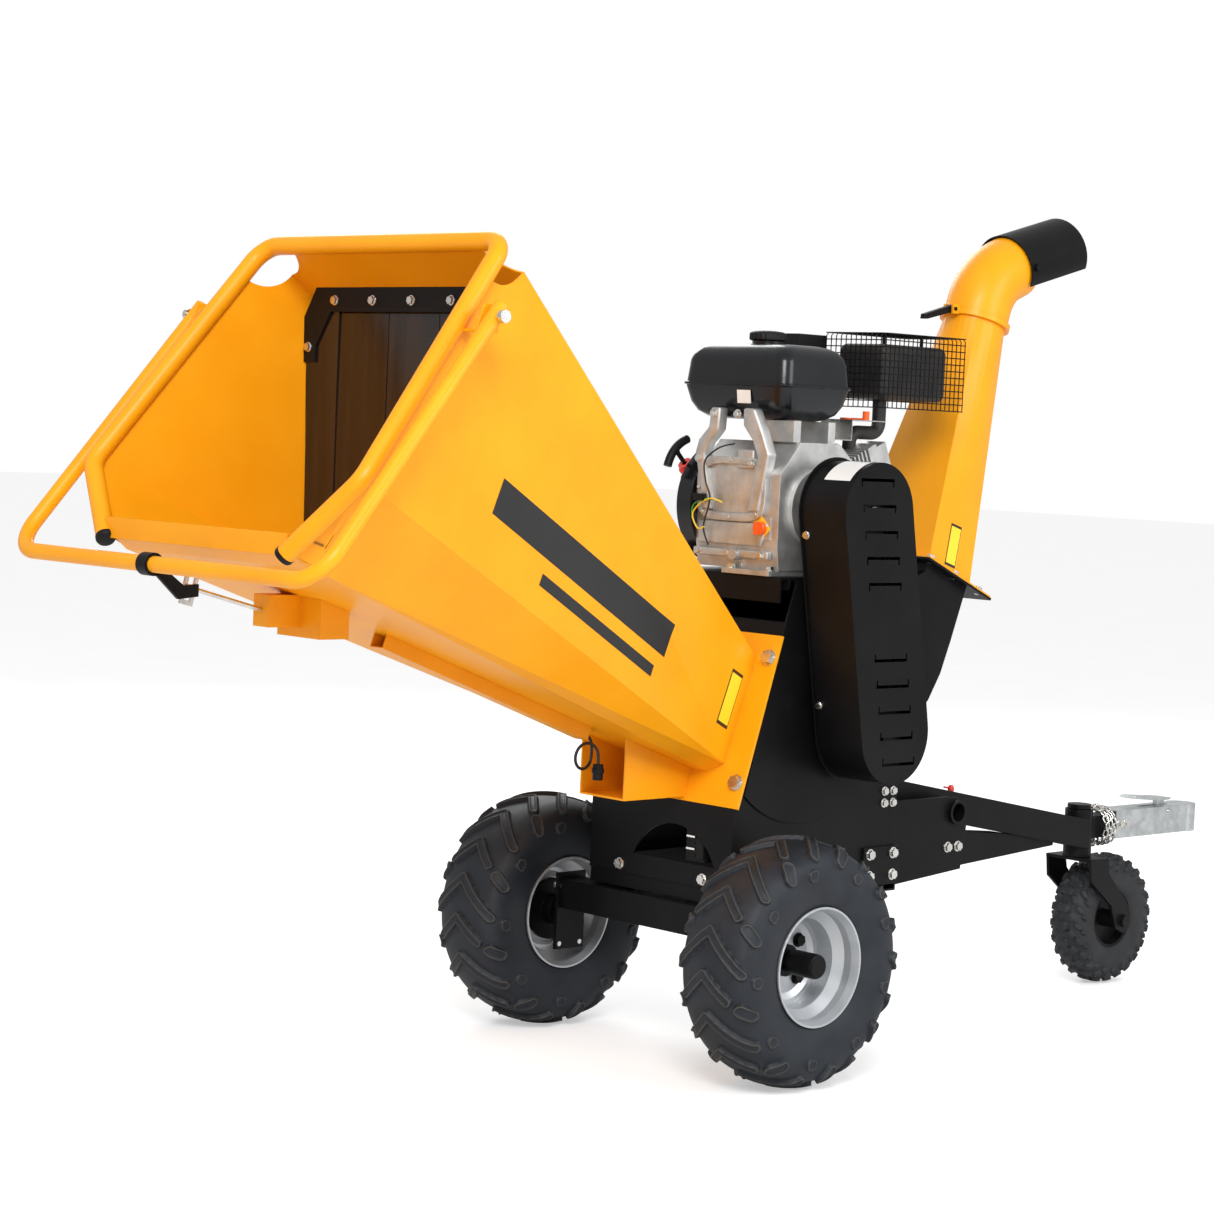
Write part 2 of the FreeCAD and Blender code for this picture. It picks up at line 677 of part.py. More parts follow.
def fan_shroud():
    """Blower housing behind the recoil starter, open towards the cylinder."""
    outer = along_y(CRANK_X, CRANK_Z, (CASE_Y[1], RECOIL_Y), 126)
    duct = box((CRANK_X, 300), (CASE_Y[1], RECOIL_Y), (CRANK_Z + 20, CRANK_Z + 126))
    room = along_y(CRANK_X, CRANK_Z, (CASE_Y[1] + 3, RECOIL_Y - 3), 122)
    duct_room = box((CRANK_X, 301), (CASE_Y[1] + 3, RECOIL_Y - 3), (CRANK_Z + 24, CRANK_Z + 122))
    eye = along_y(CRANK_X, CRANK_Z, (RECOIL_Y - 12, RECOIL_Y + 8), 78)
    bore = along_y(CRANK_X, CRANK_Z, (CASE_Y[1] - 10, CASE_Y[1] + 10), 30)
    body = joined([outer, duct])
    body = body.cut(box((0, 400), (0, 120), (900, PLATFORM_Z + 12)))
    return less(body, [room, duct_room, eye, bore])


RECOIL_EYE = (109.0, RECOIL_Y + 14.0, 1158.0)
RECOIL_PULL = V(-0.72, 0.0, 0.69)


def recoil_cover():
    y = RECOIL_Y
    outside = [(10, y + 32), (60, y + 32), (84, y + 22), (104, y + 8), (104, y)]
    inside = [(100, y), (81, y + 18), (58, y + 28), (10, y + 28)]
    dome = turned_y(outside + inside, CRANK_X, CRANK_Z)
    boss = along_y(CRANK_X, CRANK_Z, (y + 27, y + 34), 14)
    ears = []
    for a in (35, 155, 275):
        x = CRANK_X + 110 * math.cos(math.radians(a))
        z = CRANK_Z + 110 * math.sin(math.radians(a))
        ears.append(along_y(x, z, (y, y + 6), 12))
    eye = V(*RECOIL_EYE)
    neck = rod((eye.x + 34, y + 12, eye.z - 28), eye - RECOIL_PULL * 6, 9)
    grommet = rod(eye - RECOIL_PULL * 12, eye + RECOIL_PULL * 6, 13)
    bore = rod(eye - RECOIL_PULL * 40, eye + RECOIL_PULL * 20, 5.05)
    return joined([dome, boss, neck, grommet] + ears).cut(bore)


def fuel_tank():
    """Tank as one solid block: a lower and an upper half joined at a flat seam."""
    def ring(inset, z, cut):
        x0 = TANK_X[0] + inset
        x1 = TANK_X[1] - inset
        y0 = TANK_Y[0] + inset
        y1 = TANK_Y[1] - inset
        pts = [(x0 + cut, y0), (x1 - cut, y0), (x1, y0 + cut), (x1, y1 - cut)]
        pts += [(x1 - cut, y1), (x0 + cut, y1), (x0, y1 - cut), (x0, y0 + cut)]
        corners = [V(x, y, z) for x, y in pts]
        return Part.makePolygon(corners + [corners[0]])

    lower = Part.makeLoft([ring(34, 1256, 18), ring(8, 1282, 18), ring(4, TANK_SEAM_Z, 18)], True, True)
    upper = Part.makeLoft([ring(4, TANK_SEAM_Z, 18), ring(10, 1376, 18), ring(28, 1406, 18)], True, True)
    seam = Part.Face(ring(0, TANK_SEAM_Z - 2, 18)).extrude(V(0, 0, 4))
    neck = rod((192, -30, 1404), (192, -30, 1412), 30)
    return joined([lower, upper, seam, neck])


def fuel_cap():
    return joined([rod((192, -30, 1412), (192, -30, 1426), 37), rod((192, -30, 1426), (192, -30, 1432), 30)])


def muffler():
    body = box(MUFFLER_X, MUFFLER_Y, MUFFLER_Z)
    body = body.makeFillet(16, body.Edges)
    outlet = rod((602, -80, 1364), (632, -80, 1364), 14)
    y = -102
    header = bent_bar([(368, y, 1200), (368, y, 1239.5), (455, y, 1239.5), (455, y, 1310)], 14, 22)
    return joined([body, outlet, header]).cut(cylinder_block())


def muffler_cage():
    """Guard round the muffler: a three-sided grille with square openings."""
    x0, x1 = CAGE_X
    y0, y1 = CAGE_Y
    z0, z1 = CAGE_Z
    wire = 2.6
    room = box((x0 + wire, x1 + 1), (y0 + wire, y1 + 1), (z0 - 1, z1 - wire))
    shell = box(CAGE_X, CAGE_Y, CAGE_Z).cut(room)
    columns, rows, depths = 9, 6, 6
    dx = (x1 - x0 - wire) / columns
    dz = (z1 - z0 - wire) / rows
    dy = (y1 - y0 - wire) / depths
    windows = []
    for i in range(columns):
        x = (x0 + wire + dx * i, x0 + dx * (i + 1))
        for j in range(rows):
            windows.append(box(x, (y0 - 1, y0 + wire + 1), (z0 + wire + dz * j, z0 + dz * (j + 1))))
        for j in range(depths):
            windows.append(box(x, (y0 + wire + dy * j, y0 + dy * (j + 1)), (z1 - wire - 1, z1 + 1)))
    for i in range(depths):
        y = (y0 + wire + dy * i, y0 + dy * (i + 1))
        for j in range(rows):
            windows.append(box((x0 - 1, x0 + wire + 1), y, (z0 + wire + dz * j, z0 + dz * (j + 1))))
    grille = shell.cut(Part.makeCompound(windows))
    stays = []
    for x in (MUFFLER_X[0] + 30, MUFFLER_X[1] - 40):
        stays.append(box((x, x + 12), (MUFFLER_Y[0] + 30, MUFFLER_Y[0] + 42), (MUFFLER_Z[1], z1 - wire)))
    return joined([grille] + stays)


def air_cleaner():
    body = box((330, 400), (14, 112), (1270, 1400))
    lid = box((324, 406), (8, 118), (1400, 1434))
    return joined([body, lid])


def carburettor():
    """Carburettor with its inlet pipe, float bowl and air cleaner elbow."""
    body = box((336, 392), (-8, 44), (1186, 1240))
    bowl = rod((364, 18, 1150), (364, 18, 1186), 20)
    elbow = rod((364, 40, 1213), (364, 62, 1213), 20)
    riser = box((344, 384), (44, 84), (1200, 1270))
    inlet = along_y(378, 1201, (-60, -6), 14)
    return joined([body, bowl, elbow, riser, inlet]).cut(cylinder_block())


def speed_control_plate():
    foot = box((260, 322), (-150, -66), (1222, 1224))
    rise = box((320, 322), (-150, -66), (1224, 1262))
    wing = box((320, 420), (-150, -66), (1262, 1264))
    return joined([foot, rise, wing])


def throttle_lever():
    x, y, z = THROTTLE_AT
    disc = rod((x, y, z), (x, y, z + 4), 16)
    arm = box((x - 6, x + 6), (y - 48, y), (z, z + 4))
    knob = rod((x, y - 48, z), (x, y - 48, z + 18), 7)
    return joined([disc, arm, knob])


SWITCH_AT = (95.0, -128.0, 1044.0)
THROTTLE_AT = (372.0, -92.0, 1264.0)


def switch_plate():
    x, y, z = SWITCH_AT
    return box((x - 3, x), (y - 26, y + 26), (z - 22, z + 22))


def switch_knob():
    x, y, z = SWITCH_AT
    disc = rod((x - 3, y - 6, z), (x - 17, y - 6, z), 13)
    wing = box((x - 25, x - 17), (y - 10, y - 2), (z - 12, z + 12))
    return joined([disc, wing])


def recoil_handle():
    """Pull grip on its cord end; it is drawn out along RECOIL_PULL."""
    eye = V(*RECOIL_EYE)
    grip_at = eye + RECOIL_PULL * 46
    up = RECOIL_PULL.cross(V(0, 1, 0))
    grip = Part.makeCylinder(9, 76, grip_at - up * 38, up)
    stem = rod(eye - RECOIL_PULL * 14, grip_at, 5)
    return joined([grip, stem])


# ------------------------------------------------------------------
# feed hopper
# ------------------------------------------------------------------
KINK = (-1112.0, 264.0, 974.0)
LIP = (-1152.0, 250.0, 1000.0)
TUBE_END = (-1162.0, 257.0, 997.0)
THROAT_LOW = (104.0, 64.0)
THROAT_BEND = (143.0, 84.0)
THROAT_TOP = (154.0, 298.0)
MOUTH_BEND_Y = 383.0
MOUTH_TOP_Y = 332.0
HAND_HOLE_R = 74.0


def between(a, b, share):
    """Point on the line from a to b; share may pass 0 or 1."""
    return tuple(p + (q - p) * share for p, q in zip(a, b))


def hopper_body(inset, reach):
    """Solid inside the hopper's sheets, inset from them and run out at both ends."""
    def corner(mouth, throat, side):
        outer = between(throat, mouth, 1 + reach)
        inner = between(mouth, throat, 1 + reach)
        return [(p[0], p[1] * side, p[2]) for p in (outer, inner)]

    top_m = mouth_point(MOUTH_TOP_Y - inset, MOUTH_TOP_S - inset)
    top_t = flange_point(THROAT_TOP[0] - inset, THROAT_TOP[1] - inset)
    bend_m = mouth_point(MOUTH_BEND_Y - inset, MOUTH_BEND_S + inset / 3)
    bend_t = flange_point(THROAT_BEND[0] - inset, THROAT_BEND[1] + inset / 3)
    kink = (KINK[0], KINK[1] - inset * 0.8, KINK[2] + inset)
    low_t = flange_point(THROAT_LOW[0] - inset * 0.8, THROAT_LOW[1] + inset)
    lip = (LIP[0], LIP[1] - inset * 0.8, LIP[2] + inset)
    lip_out = between(kink, lip, 1 + reach * 4)
    low_out = between(kink, low_t, 1 + reach)
    faces = []
    ends = {}
    for side in (1, -1):
        tm, tt = corner(top_m, top_t, side)
        bm, bt = corner(bend_m, bend_t, side)
        k = (kink[0], kink[1] * side, kink[2])
        lo = (lip_out[0], lip_out[1] * side, lip_out[2])
        ft = (low_out[0], low_out[1] * side, low_out[2])
        ends[side] = (tm, tt, bm, bt, k, lo, ft)
        faces += [[tm, tt, bt], [tm, bt, bm], [bm, k, lo], [bm, bt, k], [bt, ft, k]]
    right = ends[1]
    left = ends[-1]
    faces.append([right[0], right[1], left[1], left[0]])
    faces.append([right[5], right[4], left[4], left[5]])
    faces.append([right[4], right[6], left[6], left[4]])
    faces += [[right[0], right[2], left[2], left[0]], [right[2], right[5], left[5], left[2]]]
    faces += [[right[1], right[3], left[3], left[1]], [right[3], right[6], left[6], left[3]]]
    return polyhedron(faces)


def mouth_path():
    half = []
    half.append((TUBE_END[0], -TUBE_END[1], TUBE_END[2]))
    half.append(mouth_point(-MOUTH_BEND_Y, MOUTH_BEND_S))
    half.append(mouth_point(-MOUTH_TOP_Y, MOUTH_TOP_S))
    other = [(x, -y, z) for x, y, z in reversed(half)]
    return half + other


def mouth_tube():
    outer = bent_bar(mouth_path(), MOUTH_TUBE_R, 46)
    path = mouth_path()
    path[0] = between(path[1], path[0], 1.02)
    path[-1] = between(path[-2], path[-1], 1.02)
    inner = bent_bar(path, MOUTH_TUBE_R - 2.5, 46)
    return outer.cut(inner)


def hopper_shell():
    shell = hopper_body(0, 0).cut(hopper_body(SHEET, 0.03))
    tube = bent_bar(mouth_path(), MOUTH_TUBE_R, 46)
    lip = feed_lip_solid()
    hole = Part.makeSphere(HAND_HOLE_R, V(*mouth_point(MOUTH_TOP_Y, MOUTH_TOP_S)))
    return less(shell, [tube, lip, hole, mirrored(hole)])


def folded_plates(shell, folds, axis_point):
    """A symmetric folded shell as plates that meet along its folds."""
    pieces = [shell.common(box((-3000, 3000), (0, 3000), (0, 3000)))]
    for low, high in folds:
        normal = (V(*high) - V(*low)).cross(V(*axis_point) - V(*low))
        pieces = divided(pieces, low, normal)
    pieces.sort(key=lambda piece: piece.CenterOfMass.y)
    sides = pieces[2:]
    across = [joined([piece, mirrored(piece)]) for piece in pieces[:2]]
    return across + sides + [mirrored(piece) for piece in sides]


def hopper_plates():
    folds = [(mouth_point(MOUTH_TOP_Y, MOUTH_TOP_S), flange_point(*THROAT_TOP)),
             (mouth_point(MOUTH_BEND_Y, MOUTH_BEND_S), flange_point(*THROAT_BEND)),
             (KINK, flange_point(*THROAT_LOW))]
    return folded_plates(hopper_shell(), folds, (-620, 0, 1100))


def flange_bars():
    """The hopper's flange as four bars round its opening."""
    bars = [bored(hopper_flange())]
    for s in (THROAT_LOW[1] + SHEET, THROAT_TOP[1] - 3 * SHEET):
        up = V(*flange_point(0, s + 1)) - V(*flange_point(0, s))
        bars = divided(bars, flange_point(0, s), up)
    return bars


def feed_lip_solid():
    x, y, z = LIP
    return prism_y([(x - 10, z + 32), (x + 24, z + 26), (x + 24, z - 5), (x - 10, z - 5)], (-y - 8, y + 8))


def feed_lip():
    x, _, z = LIP
    hollow = prism_y([(x - 6, z + 28), (x + 30, z + 21), (x + 30, z - 20), (x - 6, z - 20)], (-400, 400))
    tube = bent_bar(mouth_path(), MOUTH_TUBE_R, 46)
    return less(feed_lip_solid(), [hollow, tube])


def hopper_flange():
    plate = flange_slab(FLANGE_HALF_Y, (0, FLANGE_LEN), (-FLANGE_T, 0))
    return plate.cut(hopper_body(SHEET, 0.03))


def throat_box():
    """Box bracket under the hopper floor, against the flange's foot."""
    solid = box((-180, 40), (-62, 62), (516, 700))
    return cut_below_floor(solid, 58)


def cut_below_floor(solid, inner_half):
    floor_keep = hopper_body(0, 0.06)
    flange = flange_slab(300, (-100, 500), (-400, 0))
    room = box((-400, 100), (-inner_half, inner_half), (400, 900))
    low_plate = box((-400, 100), (-400, 400), (516, 520))
    walls = solid.cut(room.cut(low_plate))
    walls = walls.cut(floor_keep)
    return walls.cut(flange)


def floor_height(x):
    """Underside of the main floor at x."""
    low = flange_point(0, THROAT_LOW[1])
    share = (x - KINK[0]) / (low[0] - KINK[0])
    return KINK[2] + (low[2] - KINK[2]) * share


def cable_channel():
    """Folded channel that carries the switch cable under the floor."""
    x0, x1 = CHANNEL_X
    start = V(x0, 0, floor_height(x0))
    end = V(x1, 0, floor_height(x1))
    length = (end - start).Length
    outer = box((0, length), (-18, 18), (-26, 0))
    hollow = box((-1, length + 1), (-16, 16), (-24, 1))
    channel = outer.cut(hollow)
    tilt = math.degrees(math.atan2(start.z - end.z, end.x - start.x))
    channel.rotate(V(0, 0, 0), V(0, 1, 0), tilt)
    channel.translate(start)
    return channel


def hopper_brackets():
    return Part.makeCompound([throat_box(), cable_channel()])


# ------------------------------------------------------------------
# curtain in the hopper
# ------------------------------------------------------------------
def curtain_clamp():
    """Steel strip that holds the rubber against the roof and both sides."""
    band = [(-330, 1322), (-330, 1372), (-262, 1480), (262, 1480), (330, 1372), (330, 1322)]
    band += [(272, 1322), (272, 1352), (230, 1415), (-230, 1415), (-272, 1352), (-272, 1322)]
    strip = prism_x(band, (CURTAIN_X - 5, CURTAIN_X))
    return strip.common(hopper_body(SHEET, 0)).cut(hopper_shell())


def curtain_sides():
    """Rubber held by the clamp: the top band and the two outer strips."""
    outline = [(-330, 846), (-330, 1372), (-262, 1452), (262, 1452), (330, 1372), (330, 846)]
    outline += [(FLAPS_HALF_Y + 1, 846), (FLAPS_HALF_Y + 1, FLAP_TOP_Z + 2)]
    outline += [(-FLAPS_HALF_Y - 1, FLAP_TOP_Z + 2), (-FLAPS_HALF_Y - 1, 846)]
    sheet = prism_x(outline, (CURTAIN_X, CURTAIN_X + 6))
    return sheet.common(hopper_body(SHEET + 2, 0))


def curtain_flaps():
    """Middle flaps that swing inwards as wood is fed."""
    width = 2 * FLAPS_HALF_Y / FLAP_COUNT
    flaps = []
    for i in range(FLAP_COUNT):
        y0 = -FLAPS_HALF_Y + width * i + 1
        flaps.append(box((CURTAIN_X, CURTAIN_X + 6), (y0, y0 + width - 2), (FLAP_LOW_Z, FLAP_TOP_Z)))
    return Part.makeCompound(flaps)


# ------------------------------------------------------------------
# control bar and stop switch
# ------------------------------------------------------------------
def bar_path():
    px, py, pz = BAR_PIVOT
    fx, fy, fz = BAR_FOOT
    top = between(BAR_FOOT, BAR_PIVOT, 1.04)
    near = [(top[0], -top[1], top[2]), (fx, -fy, fz)]
    return near + [(fx, fy, fz), top]


def control_bar():
    bar = bent_bar(bar_path(), BAR_R, 62)
    path = bar_path()
    path[0] = between(path[1], path[0], 1.02)
    path[-1] = between(path[-2], path[-1], 1.02)
    bore = bent_bar(path, BAR_R - 2, 62)
    px, py, pz = BAR_PIVOT
    pin = along_y(px, pz, (-500, 500), 6.05)
    return less(bar, [bore, pin])


def bar_brackets():
    px, py, pz = BAR_PIVOT
    outline = [(px - 26, pz - 26), (px + 22, pz - 26), (px + 22, pz + 20), (px - 10, pz + 20)]
    tab = prism_y(outline, (-401, -395))
    web = box((px - 24, px + 22), (-401, -352), (pz - 26, pz - 21))
    tube = bent_bar(mouth_path(), MOUTH_TUBE_R, 46)
    bracket = less(joined([tab, web]), [along_y(px, pz, (-420, -380), 6.05), tube])
    return bracket


def pivot_bolts():
    px, py, pz = BAR_PIVOT
    shank = along_y(px, pz, (-434, -389), 6)
    cap = along_y(px, pz, (-444, -434), 11)
    nut = along_y(px, pz, (-395, -387), 10)
    bolt = joined([shank, cap, nut])
    return [bolt, mirrored(bolt)]


HOOK_Y = (5.0, 31.0)
ROD_AT = V(-1153, 16, 924)
ROD_WAY = V(0.969, 0, -0.247)


def stop_hook():
    """Clamp ring on the control bar with the plate and pin that work the stop rod."""
    fx, fy, fz = BAR_FOOT
    ring = ring_y(fx, fz, HOOK_Y, BAR_R + 5, BAR_R)
    plate = prism_y([(fx + 4, fz - 15), (fx + 17, fz - 4), (fx + 62, fz - 36), (fx + 92, fz - 34),
                     (fx + 92, fz - 54), (fx + 52, fz - 58)], (HOOK_Y[0], HOOK_Y[0] + 6))
    plate = plate.cut(along_y(fx, fz, (0, 100), BAR_R + 3))
    pin = along_y(ROD_AT.x, ROD_AT.z, (HOOK_Y[0] + 6, HOOK_Y[0] + 16), 6)
    return joined([ring, plate, pin])


def stop_rod():
    """Push rod with a slotted end that the hook's pin runs in."""
    end = box((-13, 13), (-3, 3), (-30, 30))
    slot = box((-6.8, 6.8), (-4, 4), (-22, 22))
    bar = rod((13, 0, 0), (205, 0, 0), 4)
    piece = joined([end.cut(slot), bar])
    piece.rotate(V(0, 0, 0), V(0, 1, 0), math.degrees(math.atan2(-ROD_WAY.z, ROD_WAY.x)))
    piece.translate(ROD_AT)
    return piece


def stop_switch():
    """Switch body in its bracket box under the floor."""
    body = box((-1000, -930), (-6, 38), (856, 912))
    bracket = box((-930, -866), (-60, 60), (838, 930))
    room = box((-928, -868), (-58, 58), (842, 1000))
    gland = rod((-866, 8, 856), (-852, 8, 856), 9)
    bore = Part.makeCylinder(4.05, 400, ROD_AT + ROD_WAY * 40, ROD_WAY)
    return less(joined([body, bracket.cut(room), gland]), [bore, hopper_body(0, 0.02)])


# ------------------------------------------------------------------
# discharge chute
# ------------------------------------------------------------------
def chute_axis(s, out=0.0):
    """Point on the chute's upper axis, s above its top, out towards the towing end."""
    return (CHUTE_TOP[0] + CHUTE_LEAN[0] * s + CHUTE_LEAN[1] * out, 0.0,
            CHUTE_TOP[2] + CHUTE_LEAN[1] * s - CHUTE_LEAN[0] * out)


def chute_body(inset, over):
    """Solid tapering from a rectangle on the duct to a circle at the top."""
    low = []
    high = []
    sides = 32
    for i in range(sides):
        a = 2 * math.pi * i / sides
        square = 1 / max(abs(math.cos(a)), abs(math.sin(a)))
        along = CHUTE_BASE[0] + (CHUTE_BASE[1] - inset) * math.cos(a) * square
        low.append(V(*duct_point(along, (CHUTE_BASE[2] - inset) * math.sin(a) * square, 4 - over)))
        out = (CHUTE_R - inset) * math.cos(a)
        x, y, z = chute_axis(over, out)
        high.append(V(x, (CHUTE_R - inset) * math.sin(a), z))
    return Part.makeLoft([Part.makePolygon(low + [low[0]]), Part.makePolygon(high + [high[0]])], True, True)


def chute_wall():
    stub = pipe(chute_axis(-1), chute_axis(40), CHUTE_R, CHUTE_R - 2.5)
    bore = rod(chute_axis(-2), chute_axis(60), CHUTE_R - 2.5)
    return less(joined([chute_body(0, 0), stub]), [chute_body(2.5, 6), bore])


def chute_plates():
    """The chute's wall as four plates that meet along its corners."""
    folds = []
    for degrees in (45, 135):
        c = math.cos(math.radians(degrees))
        along = CHUTE_BASE[0] + math.copysign(CHUTE_BASE[1], c)
        x, _, z = chute_axis(0, CHUTE_R * c)
        folds.append((duct_point(along, CHUTE_BASE[2], 4), (x, CHUTE_R * abs(c), z)))
    return folded_plates(chute_wall(), folds, duct_point(CHUTE_BASE[0], 0, 200))


def chute_foot():
    """The chute's foot flange as four bars round its opening."""
    foot = duct_plate((4, DUCT_FLANGE - 2), (0, 4), DUCT_HALF_Y + 20).cut(chute_body(2.5, 6))
    bars = [bored(foot)]
    for side in (-1, 1):
        bars = divided(bars, (0, side * (CHUTE_BASE[2] - 4), 0), (0, 1, 0))
    return bars


def elbow_bend(radius):
    axis = V(CHUTE_LEAN[0], 0, CHUTE_LEAN[1])
    disc = Part.Face(Part.Wire(Part.makeCircle(radius, V(*chute_axis(ELBOW_S)), axis)))
    centre = V(*chute_axis(ELBOW_S, ELBOW_BEND))
    turn = disc.revolve(centre, V(0, 1, 0), ELBOW_TURN)
    return turn


def elbow_end(s):
    """Point on the elbow's outlet axis, s beyond the bend."""
    cx, _, cz = chute_axis(ELBOW_S, ELBOW_BEND)
    start = V(*chute_axis(ELBOW_S)) - V(cx, 0, cz)
    t = math.radians(ELBOW_TURN)
    x = start.x * math.cos(t) + start.z * math.sin(t)
    z = -start.x * math.sin(t) + start.z * math.cos(t)
    dx = CHUTE_LEAN[0] * math.cos(t) + CHUTE_LEAN[1] * math.sin(t)
    dz = -CHUTE_LEAN[0] * math.sin(t) + CHUTE_LEAN[1] * math.cos(t)
    return (cx + x + dx * s, 0.0, cz + z + dz * s)


def chute_elbow():
    bore = CHUTE_R + 0.05
    skirt = rod(chute_axis(5), chute_axis(ELBOW_S), CHUTE_R + 3)
    ring = rod(chute_axis(5), chute_axis(17), CHUTE_R + 9)
    bend = elbow_bend(CHUTE_R + 3)
    tail = rod(elbow_end(0), elbow_end(34), CHUTE_R + 3)
    ears = box((LOCK_AT[0] - 14, LOCK_AT[0] + 10), (-14, 14), (LOCK_AT[2] - 10, LOCK_AT[2] + 10))
    ears = ears.cut(box((LOCK_AT[0] - 20, LOCK_AT[0] + 2), (-8, 8), (LOCK_AT[2] - 20, LOCK_AT[2] + 20)))
    solid = joined([skirt, ring, bend, tail, ears])
    sleeve = rod(chute_axis(-20), chute_axis(ELBOW_S - 4), bore)
    upper = rod(chute_axis(ELBOW_S - 5), chute_axis(ELBOW_S + 0.01), CHUTE_R - 0.5)
    room = elbow_bend(CHUTE_R - 0.5)
    outlet = rod(elbow_end(-0.01), elbow_end(60), CHUTE_R - 0.5)
    pin = along_y(LOCK_AT[0] - 8, LOCK_AT[2], (-20, 20), 4.05)
    hinge = along_y(DEFLECTOR_HINGE[0], DEFLECTOR_HINGE[2], (-100, 100), 5.05)
    return less(solid, [sleeve, upper, room, outlet, pin, hinge])


def chute_lock_lever():
    x, _, z = LOCK_AT
    boss = along_y(x - 8, z, (-7.9, 7.9), 9)
    pin = along_y(x - 8, z, (-17, 17), 4)
    outline = [(x - 12, z + 7), (x - 96, z - 16), (x - 98, z - 26), (x - 88, z - 26), (x - 8, z - 7)]
    arm = prism_y(outline, (-6, 6))
    return joined([boss, pin, arm])


def deflector_shell(radius):
    a = V(*elbow_end(8))
    d = V(DEFLECTOR_LEAN[0], 0, DEFLECTOR_LEAN[1])
    return Part.makeCylinder(radius, DEFLECTOR_LEN, a, d)


def chute_deflector():
    """Half-round deflector hinged on both sides of the elbow's outlet."""
    outer = deflector_shell(CHUTE_R + 10).cut(deflector_shell(CHUTE_R + 7.5))
    a = V(*elbow_end(8))
    d = V(DEFLECTOR_LEAN[0], 0, DEFLECTOR_LEAN[1])
    up = V(-DEFLECTOR_LEAN[1], 0, DEFLECTOR_LEAN[0])
    corners = [a - d * 30 - up * 36, a + d * 400 - up * 36, a + d * 400 - up * 200, a - d * 30 - up * 200]
    outer = outer.cut(prism_y([(c.x, c.z) for c in corners], (-200, 200)))
    hx, _, hz = DEFLECTOR_HINGE
    reach = CHUTE_R + 10
    inner = CHUTE_R + 7.5
    pins = []
    for side in (-1, 1):
        shank = along_y(hx, hz, sorted((side * (CHUTE_R - 4), side * (reach + 2))), 5)
        head = along_y(hx, hz, sorted((side * (reach - 1.5), side * (reach + 7))), 9)
        spacer = along_y(hx, hz, sorted((side * (CHUTE_R + 3.3), side * inner)), 11)
        pins += [shank, head, spacer]
    return joined([outer] + pins)


# ------------------------------------------------------------------
# towing end
# ------------------------------------------------------------------
def drawbar_top(x):
    return DRAWBAR_HEAD[1] + (x - DRAWBAR_HEAD[0]) * DRAWBAR_SLOPE


def drawbar():
    """Sloping drawbar with its brace, mounting plates and swivel tube."""
    half = DRAWBAR_SECTION / 2
    x0 = FRAME_REAR_X + 8
    x1 = SWIVEL_X
    line = [(x0, drawbar_top(x0)), (x1, drawbar_top(x1))]
    depth = DRAWBAR_SECTION * 1.02
    beam = prism_y(line + [(x1, line[1][1] - depth), (x0, line[0][1] - depth)], (-half, half))
    hollow = prism_y([(x0 - 1, line[0][1] - 4), (x1 + 1, line[1][1] - 4), (x1 + 1, line[1][1] - depth + 4),
                      (x0 - 1, line[0][1] - depth + 4)], (-half + 4, half - 4))
    beam = beam.cut(hollow)
    lower = [(x0, 284), (1215, 334), (1215, 345), (1040, 372), (820, 392), (x0, 380)]
    brace = prism_y(lower, (-22, 22)).cut(hollow)
    plate = box((FRAME_REAR_X, x0), (-90, 90), (262, drawbar_top(x0) + 4))
    side = [(x0, 286), (826, 316), (840, 412), (806, 470), (770, 474), (x0, 474)]
    gussets = [prism_y(side, (-74, -68)), prism_y(side, (68, 74))]
    cross = along_y(800, 440, (-84, 84), 26)
    tube = rod((SWIVEL_X, 0, SWIVEL_Z[0]), (SWIVEL_X, 0, SWIVEL_Z[1]), SWIVEL_R)
    neck = box((SWIVEL_X, COUPLER_X + 90), (-25, 25), (NECK_Z - 25, NECK_Z + 25))
    solid = joined([beam, brace, plate, cross, tube, neck] + gussets)
    bore = rod((SWIVEL_X, 0, 200), (SWIVEL_X, 0, 500), STEM_R + 0.05)
    cross_bore = along_y(800, 440, (-90, 90), 20)
    return less(solid, [bore, cross_bore])


def caster_fork():
    top = SWIVEL_Z[0] - 1
    plate = box((SWIVEL_X - 30, SWIVEL_X + 34), (-64, 64), (top - 7, top))
    outline = [(SWIVEL_X - 30, top), (SWIVEL_X + 34, top), (SWIVEL_X + 42, 262), (CASTER_X - 2, 204),
               (CASTER_X + 28, 168), (CASTER_X + 24, 132), (CASTER_X, 122), (CASTER_X - 26, 134),
               (CASTER_X - 48, 188), (SWIVEL_X - 24, 248)]
    leg = prism_y(outline, (-64, -57))
    stem = rod((SWIVEL_X, 0, top - 2), (SWIVEL_X, 0, SWIVEL_Z[1] + 10), STEM_R)
    nut = rod((SWIVEL_X, 0, SWIVEL_Z[1] + 1), (SWIVEL_X, 0, SWIVEL_Z[1] + 11), STEM_R + 8)
    axle = along_y(CASTER_X, CASTER_R, (-70, 70), 9)
    heads = [along_y(CASTER_X, CASTER_R, (-74, -64), 14), along_y(CASTER_X, CASTER_R, (64, 74), 14)]
    return joined([plate, leg, mirrored(leg), stem, nut, axle] + heads)


def caster_tyre():
    half = CASTER_W / 2
    outer = [(66, -34), (92, -half + 2), (118, -half), (136, -half + 7), (147, -26), (CASTER_R, -12)]
    outer += [(CASTER_R, 12), (147, 26), (136, half - 7), (118, half), (92, half - 2), (66, 34)]
    inner = [(66, 28), (90, half - 9), (116, half - 8), (134, half - 16), (138, 0)]
    inner += [(134, -half + 16), (116, -half + 8), (90, -half + 9), (66, -28)]
    return turned_y(outer + inner, CASTER_X, CASTER_R)


